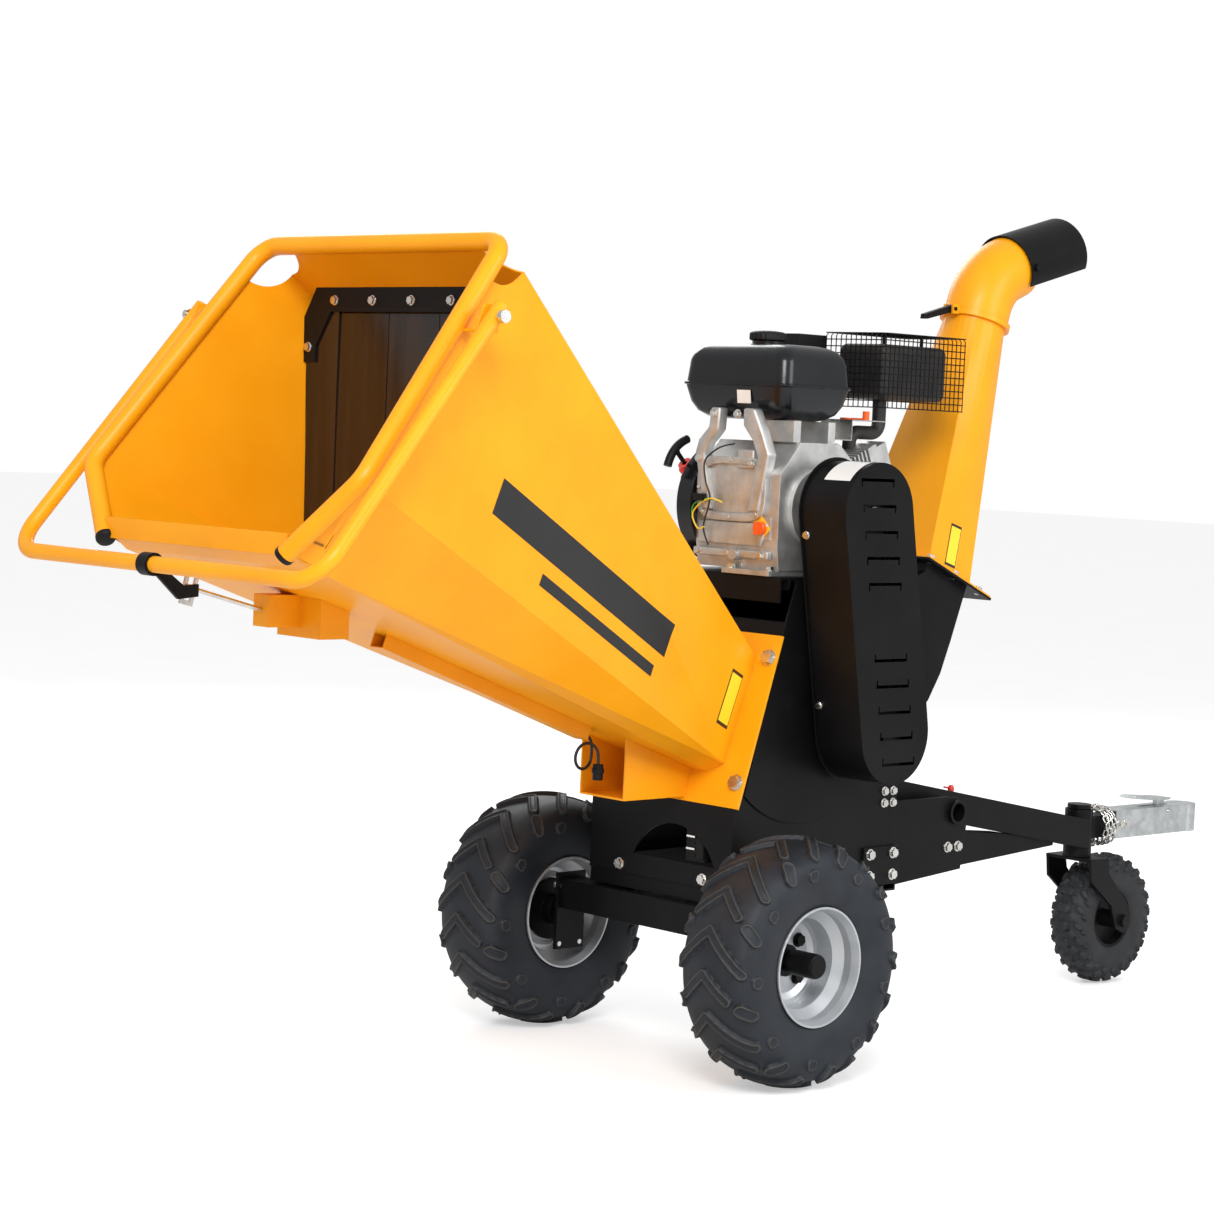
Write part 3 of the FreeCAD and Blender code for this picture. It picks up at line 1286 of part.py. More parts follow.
def caster_rim():
    profile = [(9.05, -50), (20, -50), (20, -8), (56, -8), (60, -32), (66, -34), (66, 34), (60, 32)]
    profile += [(56, 8), (20, 8), (20, 50), (9.05, 50)]
    return turned_y(profile, CASTER_X, CASTER_R)


def coupler():
    """Pressed coupler with a socket for the towing ball."""
    x0 = COUPLER_X + 36
    z = NECK_Z
    top = z + 34
    nose = 1730.0
    body = box((x0, nose), (-31, 31), (z - 30, top))
    snout = rod((nose, 0, z - 30), (nose, 0, top), 35)
    solid = joined([body, snout])
    room = box((x0 - 1, nose - 40), (-27, 27), (z - 31, top - 4))
    socket = rod((nose, 0, z - 31), (nose, 0, z + 8), BALL_R)
    dome = Part.makeSphere(BALL_R, V(nose, 0, z + 4))
    neck = box((x0 - 5, COUPLER_X + 90), (-25.2, 25.2), (z - 25.2, z + 25.2))
    bore = along_y(LATCH_AT[0], LATCH_AT[1], (-60, 60), 5.05)
    slot = box((1560, 1672), (-7, 7), (z, top + 1))
    return less(solid, [room, socket, dome, neck, bore, slot])


def coupler_latch():
    """Hand lever over the coupler, pivoted above its body."""
    x, z = LATCH_AT
    pin = along_y(x, z, (-34, 34), 5)
    foot = box((x - 14, x + 14), (-6, 6), (z - 12, z + 26))
    outline = [(x + 14, z + 26), (x + 20, z + 30), (x - 120, z + 40), (x - 126, z + 34), (x - 14, z + 24)]
    arm = prism_y(outline, (-22, 22))
    return joined([pin, foot, arm])


def safety_chain():
    """Outer shape of the chain wound round the coupler's neck."""
    x0 = SWIVEL_X + SWIVEL_R + 4
    coil = rod((x0, 0, NECK_Z), (COUPLER_X + 34, 0, NECK_Z), 52)
    return coil.cut(box((x0 - 1, COUPLER_X + 40), (-26, 26), (NECK_Z - 26, NECK_Z + 26)))


# ------------------------------------------------------------------
# cable on the hopper
# ------------------------------------------------------------------
def cord_tube(route, diameter):
    """Tube along straight runs joined by arcs as large as the runs allow."""
    pts = [V(*p) for p in route]
    pieces = []
    radii = []
    start = pts[0]
    for i in range(1, len(pts) - 1):
        before = pts[i] - pts[i - 1]
        after = pts[i + 1] - pts[i]
        turn = before.getAngle(after)
        radius = 0.45 * min(before.Length, after.Length) / math.tan(turn / 2)
        radii.append(radius)
        reach = radius * math.tan(turn / 2)
        b = V(before).normalize()
        a = V(after).normalize()
        enter = pts[i] - b * reach
        leave = pts[i] + a * reach
        pieces.append(Part.LineSegment(start, enter).toShape())
        centre_way = (a - b).normalize()
        middle = pts[i] + centre_way * (radius / math.cos(turn / 2) - radius)
        pieces.append(Part.Arc(enter, middle, leave).toShape())
        start = leave
    pieces.append(Part.LineSegment(start, pts[-1]).toShape())
    path = Part.Wire(pieces)
    first = (pts[1] - pts[0]).normalize()
    ring = Part.Wire(Part.makeCircle(diameter / 2, pts[0], first))
    tube = path.makePipeShell([ring], True, True)
    section = math.pi * diameter * diameter / 4
    print("cord radii", [round(r) for r in radii], "length", round(path.Length),
          "volume ratio", round(tube.Volume / (section * path.Length), 3))
    return tube


def cable_route():
    """Out of the channel's end, one loop, then straight down."""
    cx, cy, cz = COIL_AT
    side = cx + COIL_R
    route = [(cx - 4, cy, cz + 45.5), (side - 7, cy, cz + 37), (side, cy, cz + 17)]
    for i in range(13):
        a = math.radians(-30 * i)
        y = cy - COIL_PITCH * i / 12
        route.append((cx + COIL_R * math.cos(a), y, cz + COIL_R * math.sin(a)))
    route.append((side, cy - COIL_PITCH, cz - 16))
    return route


def switch_cable():
    return cord_tube(cable_route(), CABLE_D)


def cable_plug():
    """Round connector on the cable's end."""
    end = V(*cable_route()[-1])
    body = Part.makeCylinder(10, 30, end, V(0, 0, -1))
    collar = Part.makeCylinder(12, 8, end + V(0, 0, -8), V(0, 0, -1))
    return joined([body, collar])


# ------------------------------------------------------------------
# fasteners
# ------------------------------------------------------------------
def fastener_list():
    """Every bolt of the fixed frame as (place, direction, size, grip)."""
    bolts = []
    for side in (-1, 1):
        for x, z in ((-28, 176), (28, 176), (-28, 296), (28, 296)):
            bolts.append(((x, side * 270, z), (0, side, 0), 10, 8))
        for x in (380, 450):
            for z in (350, 394):
                bolts.append(((x, side * (FRAME_HALF_Y + 6), z), (0, side, 0), 10, 10))
        for x in (778, 812):
            bolts.append(((x, side * 74, 366), (0, side, 0), 10, 6))
        for x in (422, 448):
            for z in (496, 520):
                bolts.append(((x, side * FRAME_HALF_Y, z), (0, side, 0), 8, 4))
        for x in (COUPLER_X + 52, COUPLER_X + 76):
            bolts.append(((x, side * 31, NECK_Z + 4), (0, side, 0), 9, 5.5))
        for s in (50, 301):
            bolts.append((flange_point(side * 186, s), (-FLANGE_LEAN[1], 0, FLANGE_LEAN[0]), 14, FLANGE_T))
        for along in (22, 108, 194):
            bolts.append((duct_point(along, side * 126, 4), (-DUCT_LEAN[1], 0, DUCT_LEAN[0]), 9, 9))
        for y in (218, 109):
            bolts.append(((CURTAIN_X - 5, side * y, 1436), (-1, 0, 0), 8, 11))
        bolts.append(((CURTAIN_X - 5, side * 292, 1350), (-1, 0, 0), 8, 11))
        for a in (45, 135, 225, 315):
            x = DRUM_X + 43 * math.cos(math.radians(a))
            z = DRUM_Z + 43 * math.sin(math.radians(a))
            bolts.append(((x, side * 212, z), (0, side, 0), 8, 16))
    bolts.append(((CURTAIN_X - 5, 0, 1436), (-1, 0, 0), 8, 11))
    for y in (-122, 109):
        bolts.append(((-16, y, 362), (-1, 0, 0), 10, 8))
    for x in (89, 311):
        for y in (-160, -56):
            bolts.append(((x, y, PLATFORM_Z + 10), (0, 0, 1), 10, 16))
    a = V(DRUM_X, 0, DRUM_Z)
    b = V(CRANK_X, 0, CRANK_Z)
    u = (b - a).normalize()
    for share in (0.16, 0.93):
        for d in (V(-u.z, 0, u.x), V(u.z, 0, -u.x)):
            p = a + (b - a) * share + d * GUARD_R
            bolts.append(((p.x, GUARD_BACK_Y - 10, p.z), (d.x, 0, d.z), 7, 6))
    return bolts


def fasteners():
    return [hex_bolt(*bolt) for bolt in fastener_list()]


def bored(shape):
    """Shape with a clearance hole for each fastener that crosses it."""
    for bolt in fastener_list():
        hole = bolt_hole(*bolt)
        if shape.BoundBox.intersect(hole.BoundBox):
            shape = shape.cut(hole)
    return shape


# ------------------------------------------------------------------
# the parts
# ------------------------------------------------------------------
os.makedirs("parts", exist_ok=True)

save(bored(chassis_frame()), "chassis_frame")
save(bored(both_sides(stub_axle())), "stub_axles")
save(bored(front_panel()), "front_panel")
save(relay_box(), "relay_box")
save(bored(drum_housing()), "drum_housing")
save(bored(discharge_duct()), "discharge_duct")
save(bored(both_sides(shaft_bearing())), "shaft_bearings")
save(anvil(), "anvil")
save(drive_belts(), "drive_belts")
save(bored(guard_cover()), "guard_cover")
save(bored(guard_backplate()), "guard_backplate")
save(bored(engine_platform()), "engine_platform")
save(Part.makeCompound([bored(crankcase()), switch_plate()]), "crankcase")
save(cylinder_block(), "cylinder_block")
save(fan_shroud(), "fan_shroud")
save(recoil_cover(), "recoil_cover")
save(fuel_tank(), "fuel_tank")
save(muffler(), "muffler")
save(muffler_cage(), "muffler_cage")
save(air_cleaner(), "air_cleaner")
save(carburettor(), "carburettor")
save(speed_control_plate(), "speed_control_plate")
save(joined([mouth_tube(), bar_brackets(), mirrored(bar_brackets())]), "mouth_tube")
save(Part.makeCompound(hopper_plates() + flange_bars() + [feed_lip()]), "hopper_shell")
save(hopper_brackets(), "hopper_brackets")
save(bored(curtain_clamp()), "curtain_clamp")
save(bored(curtain_sides()), "curtain_sides")
save(stop_switch(), "stop_switch")
save(Part.makeCompound(chute_plates() + chute_foot()), "chute")
save(bored(drawbar()), "drawbar")
save(bored(coupler()), "coupler")
save(safety_chain(), "safety_chain")
save(Part.makeCompound(fasteners() + pivot_bolts()), "fasteners")
save(switch_cable(), "switch_cable")
save(cable_plug(), "cable_plug")

save(mirrored(tyre()), "tyre_left")
save(mirrored(rim()), "rim_left")
save(mirrored(hub()), "hub_left")
save(tyre(), "tyre_right")
save(rim(), "rim_right")
save(hub(), "hub_right")
save(caster_fork(), "caster_fork")
save(caster_tyre(), "caster_tyre")
save(caster_rim(), "caster_rim")
save(crankshaft(), "crankshaft")
save(engine_pulley(), "engine_pulley")
save(Part.makeCompound([drum_shaft(), drum_pulley()]), "drum_shaft")
save(cutting_drum(), "cutting_drum")
save(drum_knives(), "drum_knives")
save(Part.makeCompound([control_bar(), stop_hook()]), "control_bar")
save(stop_rod(), "stop_rod")
save(curtain_flaps(), "curtain_flaps")
save(chute_elbow(), "chute_elbow")
save(chute_deflector(), "chute_deflector")
save(chute_lock_lever(), "chute_lock_lever")
save(coupler_latch(), "coupler_latch")
save(recoil_handle(), "recoil_handle")
save(fuel_cap(), "fuel_cap")
save(switch_knob(), "switch_knob")
save(throttle_lever(), "throttle_lever")
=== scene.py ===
import math

import bmesh
import bpy
import numpy as np
from mathutils import Matrix, Vector


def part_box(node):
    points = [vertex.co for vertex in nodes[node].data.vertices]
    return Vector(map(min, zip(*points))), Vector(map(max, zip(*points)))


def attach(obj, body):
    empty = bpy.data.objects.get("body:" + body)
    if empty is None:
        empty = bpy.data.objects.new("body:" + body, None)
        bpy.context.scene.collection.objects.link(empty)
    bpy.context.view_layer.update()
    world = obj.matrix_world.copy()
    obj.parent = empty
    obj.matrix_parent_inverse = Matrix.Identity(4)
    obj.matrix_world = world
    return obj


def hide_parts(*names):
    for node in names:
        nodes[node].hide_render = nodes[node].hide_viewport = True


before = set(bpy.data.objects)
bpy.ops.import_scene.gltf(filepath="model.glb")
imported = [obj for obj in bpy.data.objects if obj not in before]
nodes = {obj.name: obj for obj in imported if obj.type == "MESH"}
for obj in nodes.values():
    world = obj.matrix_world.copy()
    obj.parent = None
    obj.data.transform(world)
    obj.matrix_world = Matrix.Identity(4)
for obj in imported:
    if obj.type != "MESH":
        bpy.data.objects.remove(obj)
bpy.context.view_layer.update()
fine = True

# The towing end is +X and the origin is below the middle of the machine.
# Places taken from the wheel axle line are moved back by AXLE_BACK.
AXLE_BACK = 0.256
MM = 0.001


def at(x, y, z):
    """Point in millimetres from the axle line, as metres in the frame."""
    return Vector((x * MM - AXLE_BACK, y * MM, z * MM))


# ------------------------------------------------------------------
# materials
# ------------------------------------------------------------------
def principled(name):
    """New node material, with its tree and its Principled shader."""
    mat = bpy.data.materials.new(name)
    mat.use_nodes = True
    tree = mat.node_tree
    return mat, tree, tree.nodes["Principled BSDF"]


def noise(tree, scale, detail=4.0, stretch=(1, 1, 1)):
    """Object-space noise node."""
    place = tree.nodes.new("ShaderNodeTexCoord")
    mapping = tree.nodes.new("ShaderNodeMapping")
    mapping.inputs["Scale"].default_value = stretch
    texture = tree.nodes.new("ShaderNodeTexNoise")
    texture.inputs["Scale"].default_value = scale
    texture.inputs["Detail"].default_value = detail
    tree.links.new(place.outputs["Object"], mapping.inputs["Vector"])
    tree.links.new(mapping.outputs["Vector"], texture.inputs["Vector"])
    return texture


def mix_colours(tree, factor, low, high, span=(0.35, 0.65)):
    """Ramp between two colours along a factor socket."""
    ramp = tree.nodes.new("ShaderNodeValToRGB")
    ramp.color_ramp.elements[0].position = span[0]
    ramp.color_ramp.elements[1].position = span[1]
    ramp.color_ramp.elements[0].color = (*low, 1)
    ramp.color_ramp.elements[1].color = (*high, 1)
    tree.links.new(factor, ramp.inputs["Fac"])
    return ramp.outputs["Color"]


ROUGH_SPAN = 0.08
BUMP_DEPTH = 0.0006


def surface(name, low, high, rough, metal=0.0, coat=0.0, grain=900, bump=0.05, patch=7.0, edge=0.0012,
            stretch=(1, 1, 1), specular=0.5):
    """Painted, cast, moulded or rolled finish: patchy colour, fine grain and rounded edges."""
    mat, tree, shader = principled(name)
    patches = noise(tree, patch, 6.0, stretch)
    tree.links.new(mix_colours(tree, patches.outputs["Fac"], low, high), shader.inputs["Base Color"])
    shader.inputs["Metallic"].default_value = metal
    shader.inputs["Coat Weight"].default_value = coat
    shader.inputs["Coat Roughness"].default_value = 0.12
    shader.inputs["Specular IOR Level"].default_value = specular
    fine_grain = noise(tree, grain, 2.0, stretch)
    spread = tree.nodes.new("ShaderNodeMapRange")
    spread.inputs["To Min"].default_value = rough - ROUGH_SPAN
    spread.inputs["To Max"].default_value = rough + ROUGH_SPAN
    tree.links.new(patches.outputs["Fac"], spread.inputs["Value"])
    tree.links.new(spread.outputs["Result"], shader.inputs["Roughness"])
    lump = tree.nodes.new("ShaderNodeBump")
    lump.inputs["Strength"].default_value = bump
    lump.inputs["Distance"].default_value = BUMP_DEPTH
    tree.links.new(fine_grain.outputs["Fac"], lump.inputs["Height"])
    if edge:
        rounded = tree.nodes.new("ShaderNodeBevel")
        rounded.samples = 4
        rounded.inputs["Radius"].default_value = edge
        tree.links.new(rounded.outputs["Normal"], lump.inputs["Normal"])
    tree.links.new(lump.outputs["Normal"], shader.inputs["Normal"])
    return mat


def highlight_edges(mat, colour):
    """Lightens the raised edges of a moulded surface: a painted highlight along them."""
    tree = mat.node_tree
    shader = tree.nodes["Principled BSDF"]
    base = shader.inputs["Base Color"].links[0].from_socket
    # Pointiness picks the convex edges that get the painted highlight.
    shape = tree.nodes.new("ShaderNodeNewGeometry")
    spread = tree.nodes.new("ShaderNodeMapRange")
    spread.inputs["From Min"].default_value = 0.515
    spread.inputs["From Max"].default_value = 0.60
    spread.inputs["To Max"].default_value = 0.8
    mix = tree.nodes.new("ShaderNodeMixRGB")
    mix.inputs["Color2"].default_value = (*colour, 1)
    tree.links.new(shape.outputs["Pointiness"], spread.inputs["Value"])
    tree.links.new(spread.outputs["Result"], mix.inputs["Fac"])
    tree.links.new(base, mix.inputs["Color1"])
    tree.links.new(mix.outputs["Color"], shader.inputs["Base Color"])


ORANGE = surface("orange_paint", (0.90, 0.345, 0.003), (0.94, 0.380, 0.005), 0.40, coat=0.06, bump=0.05,
                 grain=700, edge=0.0018, specular=0.28)
BLACK = surface("black_paint", (0.0035, 0.0035, 0.004), (0.006, 0.006, 0.0066), 0.40, bump=0.10,
                grain=1400, edge=0.0015, specular=0.14)
TANK = surface("tank_enamel", (0.005, 0.006, 0.008), (0.008, 0.009, 0.011), 0.22, coat=0.12, bump=0.02,
               grain=500, edge=0.002, specular=0.3)
PLASTIC = surface("black_plastic", (0.005, 0.005, 0.0055), (0.009, 0.009, 0.010), 0.5, bump=0.25, grain=1600,
                  specular=0.2)
TYRE = surface("tyre_rubber", (0.010, 0.013, 0.018), (0.018, 0.022, 0.029), 0.56, bump=0.3, grain=420,
               patch=14.0, edge=0.0, specular=0.35)
# Pale brown of the painted highlight on the tyre's raised lug edges.
RUBBER_EDGE_HIGHLIGHT = (0.095, 0.088, 0.070)
highlight_edges(TYRE, RUBBER_EDGE_HIGHLIGHT)
CASTER = surface("caster_rubber", (0.014, 0.015, 0.017), (0.026, 0.027, 0.030), 0.6, bump=0.3, grain=420,
                 patch=18.0, edge=0.0, specular=0.35)
CURTAIN = surface("curtain_rubber", (0.008, 0.006, 0.005), (0.026, 0.016, 0.011), 0.22, coat=0.15, bump=0.5,
                  grain=60, patch=9.0, edge=0.001, stretch=(1, 3, 0.2), specular=0.35)
BELT = surface("belt_rubber", (0.012, 0.012, 0.012), (0.022, 0.022, 0.022), 0.75, bump=0.3)
CABLE = surface("cable_rubber", (0.010, 0.010, 0.010), (0.018, 0.018, 0.018), 0.4, bump=0.15, edge=0.0)
SILVER = surface("rim_silver", (0.42, 0.44, 0.46), (0.52, 0.54, 0.56), 0.32, metal=0.55, coat=0.4, bump=0.06,
                 grain=800)
ZINC = surface("zinc", (0.62, 0.62, 0.60), (0.78, 0.77, 0.73), 0.26, metal=1.0, bump=0.15, grain=900,
               patch=60.0, edge=0.0008)
GALVANISED = surface("galvanised", (0.50, 0.53, 0.54), (0.70, 0.72, 0.72), 0.34, metal=1.0, bump=0.25,
                     grain=260, patch=45.0, edge=0.0015)
ALLOY = surface("engine_alloy", (0.50, 0.50, 0.49), (0.66, 0.66, 0.65), 0.42, metal=0.85, bump=0.6,
                grain=1100, patch=30.0, edge=0.002)
DARK_STEEL = surface("dark_steel", (0.045, 0.043, 0.042), (0.085, 0.08, 0.075), 0.45, metal=0.8, bump=0.3)
BARE_STEEL = surface("bare_steel", (0.42, 0.42, 0.41), (0.56, 0.55, 0.54), 0.3, metal=1.0, bump=0.2,
                     stretch=(1, 8, 1))
EXHAUST = surface("exhaust_black", (0.016, 0.015, 0.015), (0.035, 0.032, 0.030), 0.55, metal=0.3, bump=0.4,
                  patch=20.0)
RED = surface("red_plastic", (0.62, 0.02, 0.012), (0.72, 0.03, 0.02), 0.3, bump=0.05)
KNOB = surface("knob_orange", (0.85, 0.10, 0.01), (0.92, 0.14, 0.015), 0.32, bump=0.05)
YELLOW = surface("yellow_plate", (0.88, 0.45, 0.015), (0.94, 0.52, 0.02), 0.35, bump=0.05)
LABEL_YELLOW = surface("label_yellow", (0.85, 0.62, 0.02), (0.90, 0.68, 0.03), 0.4, bump=0.03, edge=0.0)
LABEL_WHITE = surface("label_white", (0.78, 0.78, 0.77), (0.85, 0.85, 0.84), 0.4, bump=0.03, edge=0.0)
LABEL_BLACK = surface("label_black", (0.012, 0.012, 0.012), (0.016, 0.016, 0.016), 0.35, bump=0.03, edge=0.0)
WIRE_GREEN = surface("wire_green", (0.03, 0.30, 0.05), (0.05, 0.38, 0.07), 0.4, edge=0.0)
WIRE_YELLOW = surface("wire_yellow", (0.75, 0.55, 0.03), (0.82, 0.62, 0.05), 0.4, edge=0.0)

NODE_MATERIALS = {
    ORANGE: "mouth_tube hopper_shell hopper_brackets stop_switch chute control_bar chute_elbow",
    BLACK: "chassis_frame stub_axles front_panel drum_housing discharge_duct guard_cover guard_backplate "
           "engine_platform muffler_cage curtain_clamp drawbar hub_left hub_right caster_fork caster_rim "
           "chute_deflector chute_lock_lever",
    TANK: "fan_shroud recoil_cover fuel_tank fuel_cap",
    PLASTIC: "relay_box air_cleaner cable_plug recoil_handle",
    EXHAUST: "muffler",
    BELT: "drive_belts",
    SILVER: "rim_left rim_right",
    ZINC: "fasteners stop_rod speed_control_plate",
    GALVANISED: "coupler coupler_latch",
    ALLOY: "crankcase cylinder_block carburettor",
    DARK_STEEL: "shaft_bearings engine_pulley drum_shaft cutting_drum",
    BARE_STEEL: "anvil crankshaft drum_knives",
    KNOB: "switch_knob throttle_lever",
}
for mat, names in NODE_MATERIALS.items():
    for name in names.split():
        for slot in nodes[name].material_slots:
            slot.material = mat


# ------------------------------------------------------------------
# mesh helpers
# ------------------------------------------------------------------
def piece(name, verts, faces, mat, body, slot, smooth=None):
    """Mesh object that rides on a body; smooth is an angle in degrees."""
    mesh = bpy.data.meshes.new(name)
    mesh.from_pydata([tuple(v) for v in verts], [], [tuple(f) for f in faces])
    mesh.validate()
    mesh.materials.append(mat)
    obj = bpy.data.objects.new(name, mesh)
    bpy.context.scene.collection.objects.link(obj)
    if smooth is not None:
        mesh.polygons.foreach_set("use_smooth", [True] * len(mesh.polygons))
        mesh.set_sharp_from_angle(angle=math.radians(smooth))
    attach(obj, body)
    return obj


def bevelled(obj, width):
    """Rounds an object's edges."""
    mod = obj.modifiers.new("round", "BEVEL")
    mod.width = width
    mod.segments = 3
    mod.limit_method = "ANGLE"
    mod.angle_limit = math.radians(30)
    obj.data.polygons.foreach_set("use_smooth", [True] * len(obj.data.polygons))


def grid_faces(rows, columns, wrap_rows=False, wrap_columns=False):
    """Quads of a grid of rows times columns points."""
    faces = []
    for i in range(rows if wrap_rows else rows - 1):
        for j in range(columns if wrap_columns else columns - 1):
            a = i * columns + j
            b = i * columns + (j + 1) % columns
            c = ((i + 1) % rows) * columns + (j + 1) % columns
            d = ((i + 1) % rows) * columns + j
            faces.append((a, b, c, d))
    return faces


def merged(parts):
    """One vertex and face list from several (verts, faces) pairs."""
    verts, faces = [], []
    for v, f in parts:
        base = len(verts)
        verts.extend(v)
        faces.extend([tuple(i + base for i in face) for face in f])
    return verts, faces


def frame_of(direction):
    """Two unit vectors across a direction."""
    d = Vector(direction).normalized()
    side = d.cross(Vector((0.13, 0.27, 0.95))).normalized()
    return side, d.cross(side).normalized()


def bar(start, end, radius, sides=8):
    """Capped round bar."""
    a, b = Vector(start), Vector(end)
    side, up = frame_of(b - a)
    verts = []
    for p in (a, b):
        for i in range(sides):
            t = 2 * math.pi * i / sides
            verts.append(p + side * (radius * math.cos(t)) + up * (radius * math.sin(t)))
    faces = [(i, (i + 1) % sides, sides + (i + 1) % sides, sides + i) for i in range(sides)]
    faces += [tuple(reversed(range(sides))), tuple(range(sides, 2 * sides))]
    return verts, faces


def swept(points, radius, sides=10, closed=False):
    """Round tube along a list of points."""
    pts = [Vector(p) for p in points]
    count = len(pts)
    verts = []
    side = None
    for i, p in enumerate(pts):
        ahead = pts[(i + 1) % count] if closed or i + 1 < count else pts[i]
        behind = pts[i - 1] if closed or i > 0 else pts[i]
        d = (ahead - behind).normalized()
        side = frame_of(d)[0] if side is None else (side - d * side.dot(d)).normalized()
        up = d.cross(side)
        for k in range(sides):
            t = 2 * math.pi * k / sides
            verts.append(p + side * (radius * math.cos(t)) + up * (radius * math.sin(t)))
    faces = grid_faces(count, sides, wrap_rows=closed, wrap_columns=True)
    if not closed:
        faces += [tuple(reversed(range(sides))), tuple(range((count - 1) * sides, count * sides))]
    return verts, faces


def turned(profile, centre, axis, steps=48):
    """Surface of revolution; profile is (radius, distance along the axis)."""
    c = Vector(centre)
    d = Vector(axis).normalized()
    side, up = frame_of(d)
    verts = []
    for i in range(steps):
        t = 2 * math.pi * i / steps
        out = side * math.cos(t) + up * math.sin(t)
        verts.extend([c + out * r + d * h for r, h in profile])
    return verts, grid_faces(steps, len(profile), wrap_rows=True)


def plate(outline, origin, across, up, thickness):
    """Flat plate: outline in two directions from an origin, thickened along their normal."""
    u, v = Vector(across).normalized(), Vector(up).normalized()
    n = u.cross(v)
    count = len(outline)
    low = [Vector(origin) + u * a + v * b for a, b in outline]
    verts = low + [p + n * thickness for p in low]
    faces = [tuple(reversed(range(count))), tuple(range(count, 2 * count))]
    faces += [(i, (i + 1) % count, count + (i + 1) % count, count + i) for i in range(count)]
    return verts, faces


def oblong(half_width, half_height):
    """Outline of a rectangle about its middle."""
    return [(-half_width, -half_height), (half_width, -half_height), (half_width, half_height),
            (-half_width, half_height)]


def smooth_line(points, steps=8):
    """Catmull-Rom curve through points."""
    pts = [Vector(p) for p in points]
    out = []
    for i in range(len(pts) - 1):
        p0, p1 = pts[max(i - 1, 0)], pts[i]
        p2, p3 = pts[i + 1], pts[min(i + 2, len(pts) - 1)]
        for k in range(steps):
            t = k / steps
            out.append(0.5 * (2 * p1 + (p2 - p0) * t + (2 * p0 - 5 * p1 + 4 * p2 - p3) * t * t
                              + (3 * p1 - p0 - 3 * p2 + p3) * t ** 3))
    out.append(pts[-1])
    return out


def outward(obj):
    """Makes an object's faces point outwards."""
    mesh = bmesh.new()
    mesh.from_mesh(obj.data)
    bmesh.ops.recalc_face_normals(mesh, faces=mesh.faces)
    mesh.to_mesh(obj.data)
    mesh.free()


# ------------------------------------------------------------------
# tyres
# ------------------------------------------------------------------
def rise(value, low, high):
    """Smooth step from 0 at low to 1 at high."""
    t = np.clip((value - low) / (high - low), 0, 1)
    return t * t * (3 - 2 * t)


def segment_distance(u, s, a, b):
    """Distance from grid points to one segment, and the share along it."""
    dx, dy = b[0] - a[0], b[1] - a[1]
    t = np.clip(((u - a[0]) * dx + (s - a[1]) * dy) / (dx * dx + dy * dy), 0, 1)
    return np.hypot(u - a[0] - t * dx, s - a[1] - t * dy)


def lug_depth(u, s, pitch, lugs):
    """How far each grid point is inside the nearest lug, in millimetres."""
    inside = np.full(u.shape, -50.0)
    for points, half in lugs:
        for shift in (-pitch, 0, pitch):
            for a, b in zip(points, points[1:]):
                d = segment_distance(u, s, (a[0] + shift, a[1]), (b[0] + shift, b[1]))
                inside = np.maximum(inside, half - d)
    return inside


def tyre(name, node, body, slot, mat, centre, meridian, around, across, tread):
    """Tyre with its tread raised from a smooth cross-section."""
    line = smooth_line([Vector((y, r, 0)) for y, r in meridian], 12)
    pts = np.array([(p.x, p.y) for p in line])
    run = np.concatenate([[0], np.cumsum(np.hypot(*np.diff(pts, axis=0).T))])
    place = np.linspace(0, run[-1], across)
    y = np.interp(place, run, pts[:, 0])
    r = np.interp(place, run, pts[:, 1])
    dy, dr = np.gradient(y), np.gradient(r)
    size = np.hypot(dy, dr)
    ny, nr = -dr / size, dy / size
    s = place - run[-1] / 2
    outer = r.max()
    theta = np.linspace(0, 2 * math.pi, around, endpoint=False)
    grid_s, grid_t = np.meshgrid(s, theta)
    height = tread(grid_t * outer, np.abs(grid_s))
    rr = r[None, :] + nr[None, :] * height
    yy = y[None, :] + ny[None, :] * height
    c = Vector(centre)
    xs = c.x + rr * np.cos(grid_t) * MM
    zs = c.z + rr * np.sin(grid_t) * MM
    ys = c.y + yy * MM
    verts = np.stack([xs, ys, zs], axis=-1).reshape(-1, 3)
    obj = piece(name, verts.tolist(), grid_faces(around, across, wrap_rows=True), mat, body, slot, 50)
    outward(obj)
    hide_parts(node)


ROAD_LUGS = 9
ROAD_RADIUS = 229
ROAD_PITCH = 2 * math.pi * ROAD_RADIUS / ROAD_LUGS
CASTER_BLOCKS = 22
CASTER_PITCH = 2 * math.pi * 143 / CASTER_BLOCKS
WHEEL_SIDE = 345
WHEEL_HEIGHT = 237.5


def road_tread(u, s):
    """Chevron lugs with sunk middles, shoulder lugs and small studs on the side."""
    half = ROAD_PITCH / 2
    u = np.mod(u, ROAD_PITCH)
    long_arm = [((2, 0), (30, 30), (74, 78)), 9.5]
    short_arm = [((half + 2, 0), (half + 28, 28), (half + 48, 50)), 9.0]
    shoulder = [((half + 66, 74), (half + 82, 92)), 12.0]
    inside = lug_depth(u, s, ROAD_PITCH, [long_arm, short_arm, shoulder])
    studs = lug_depth(u, s, ROAD_PITCH, [[((half + 8, 110), (half + 10, 111)), 10.5],
                                         [((96, 110), (98, 111)), 10.5]])
    height = 8.4 * rise(inside, -1.6, 0.8) - 2.6 * rise(inside, 3.6, 5.0)
    return np.maximum(height, 4.4 * rise(studs, -1.2, 1.0) - 1.6 * rise(studs, 3.6, 5.0))


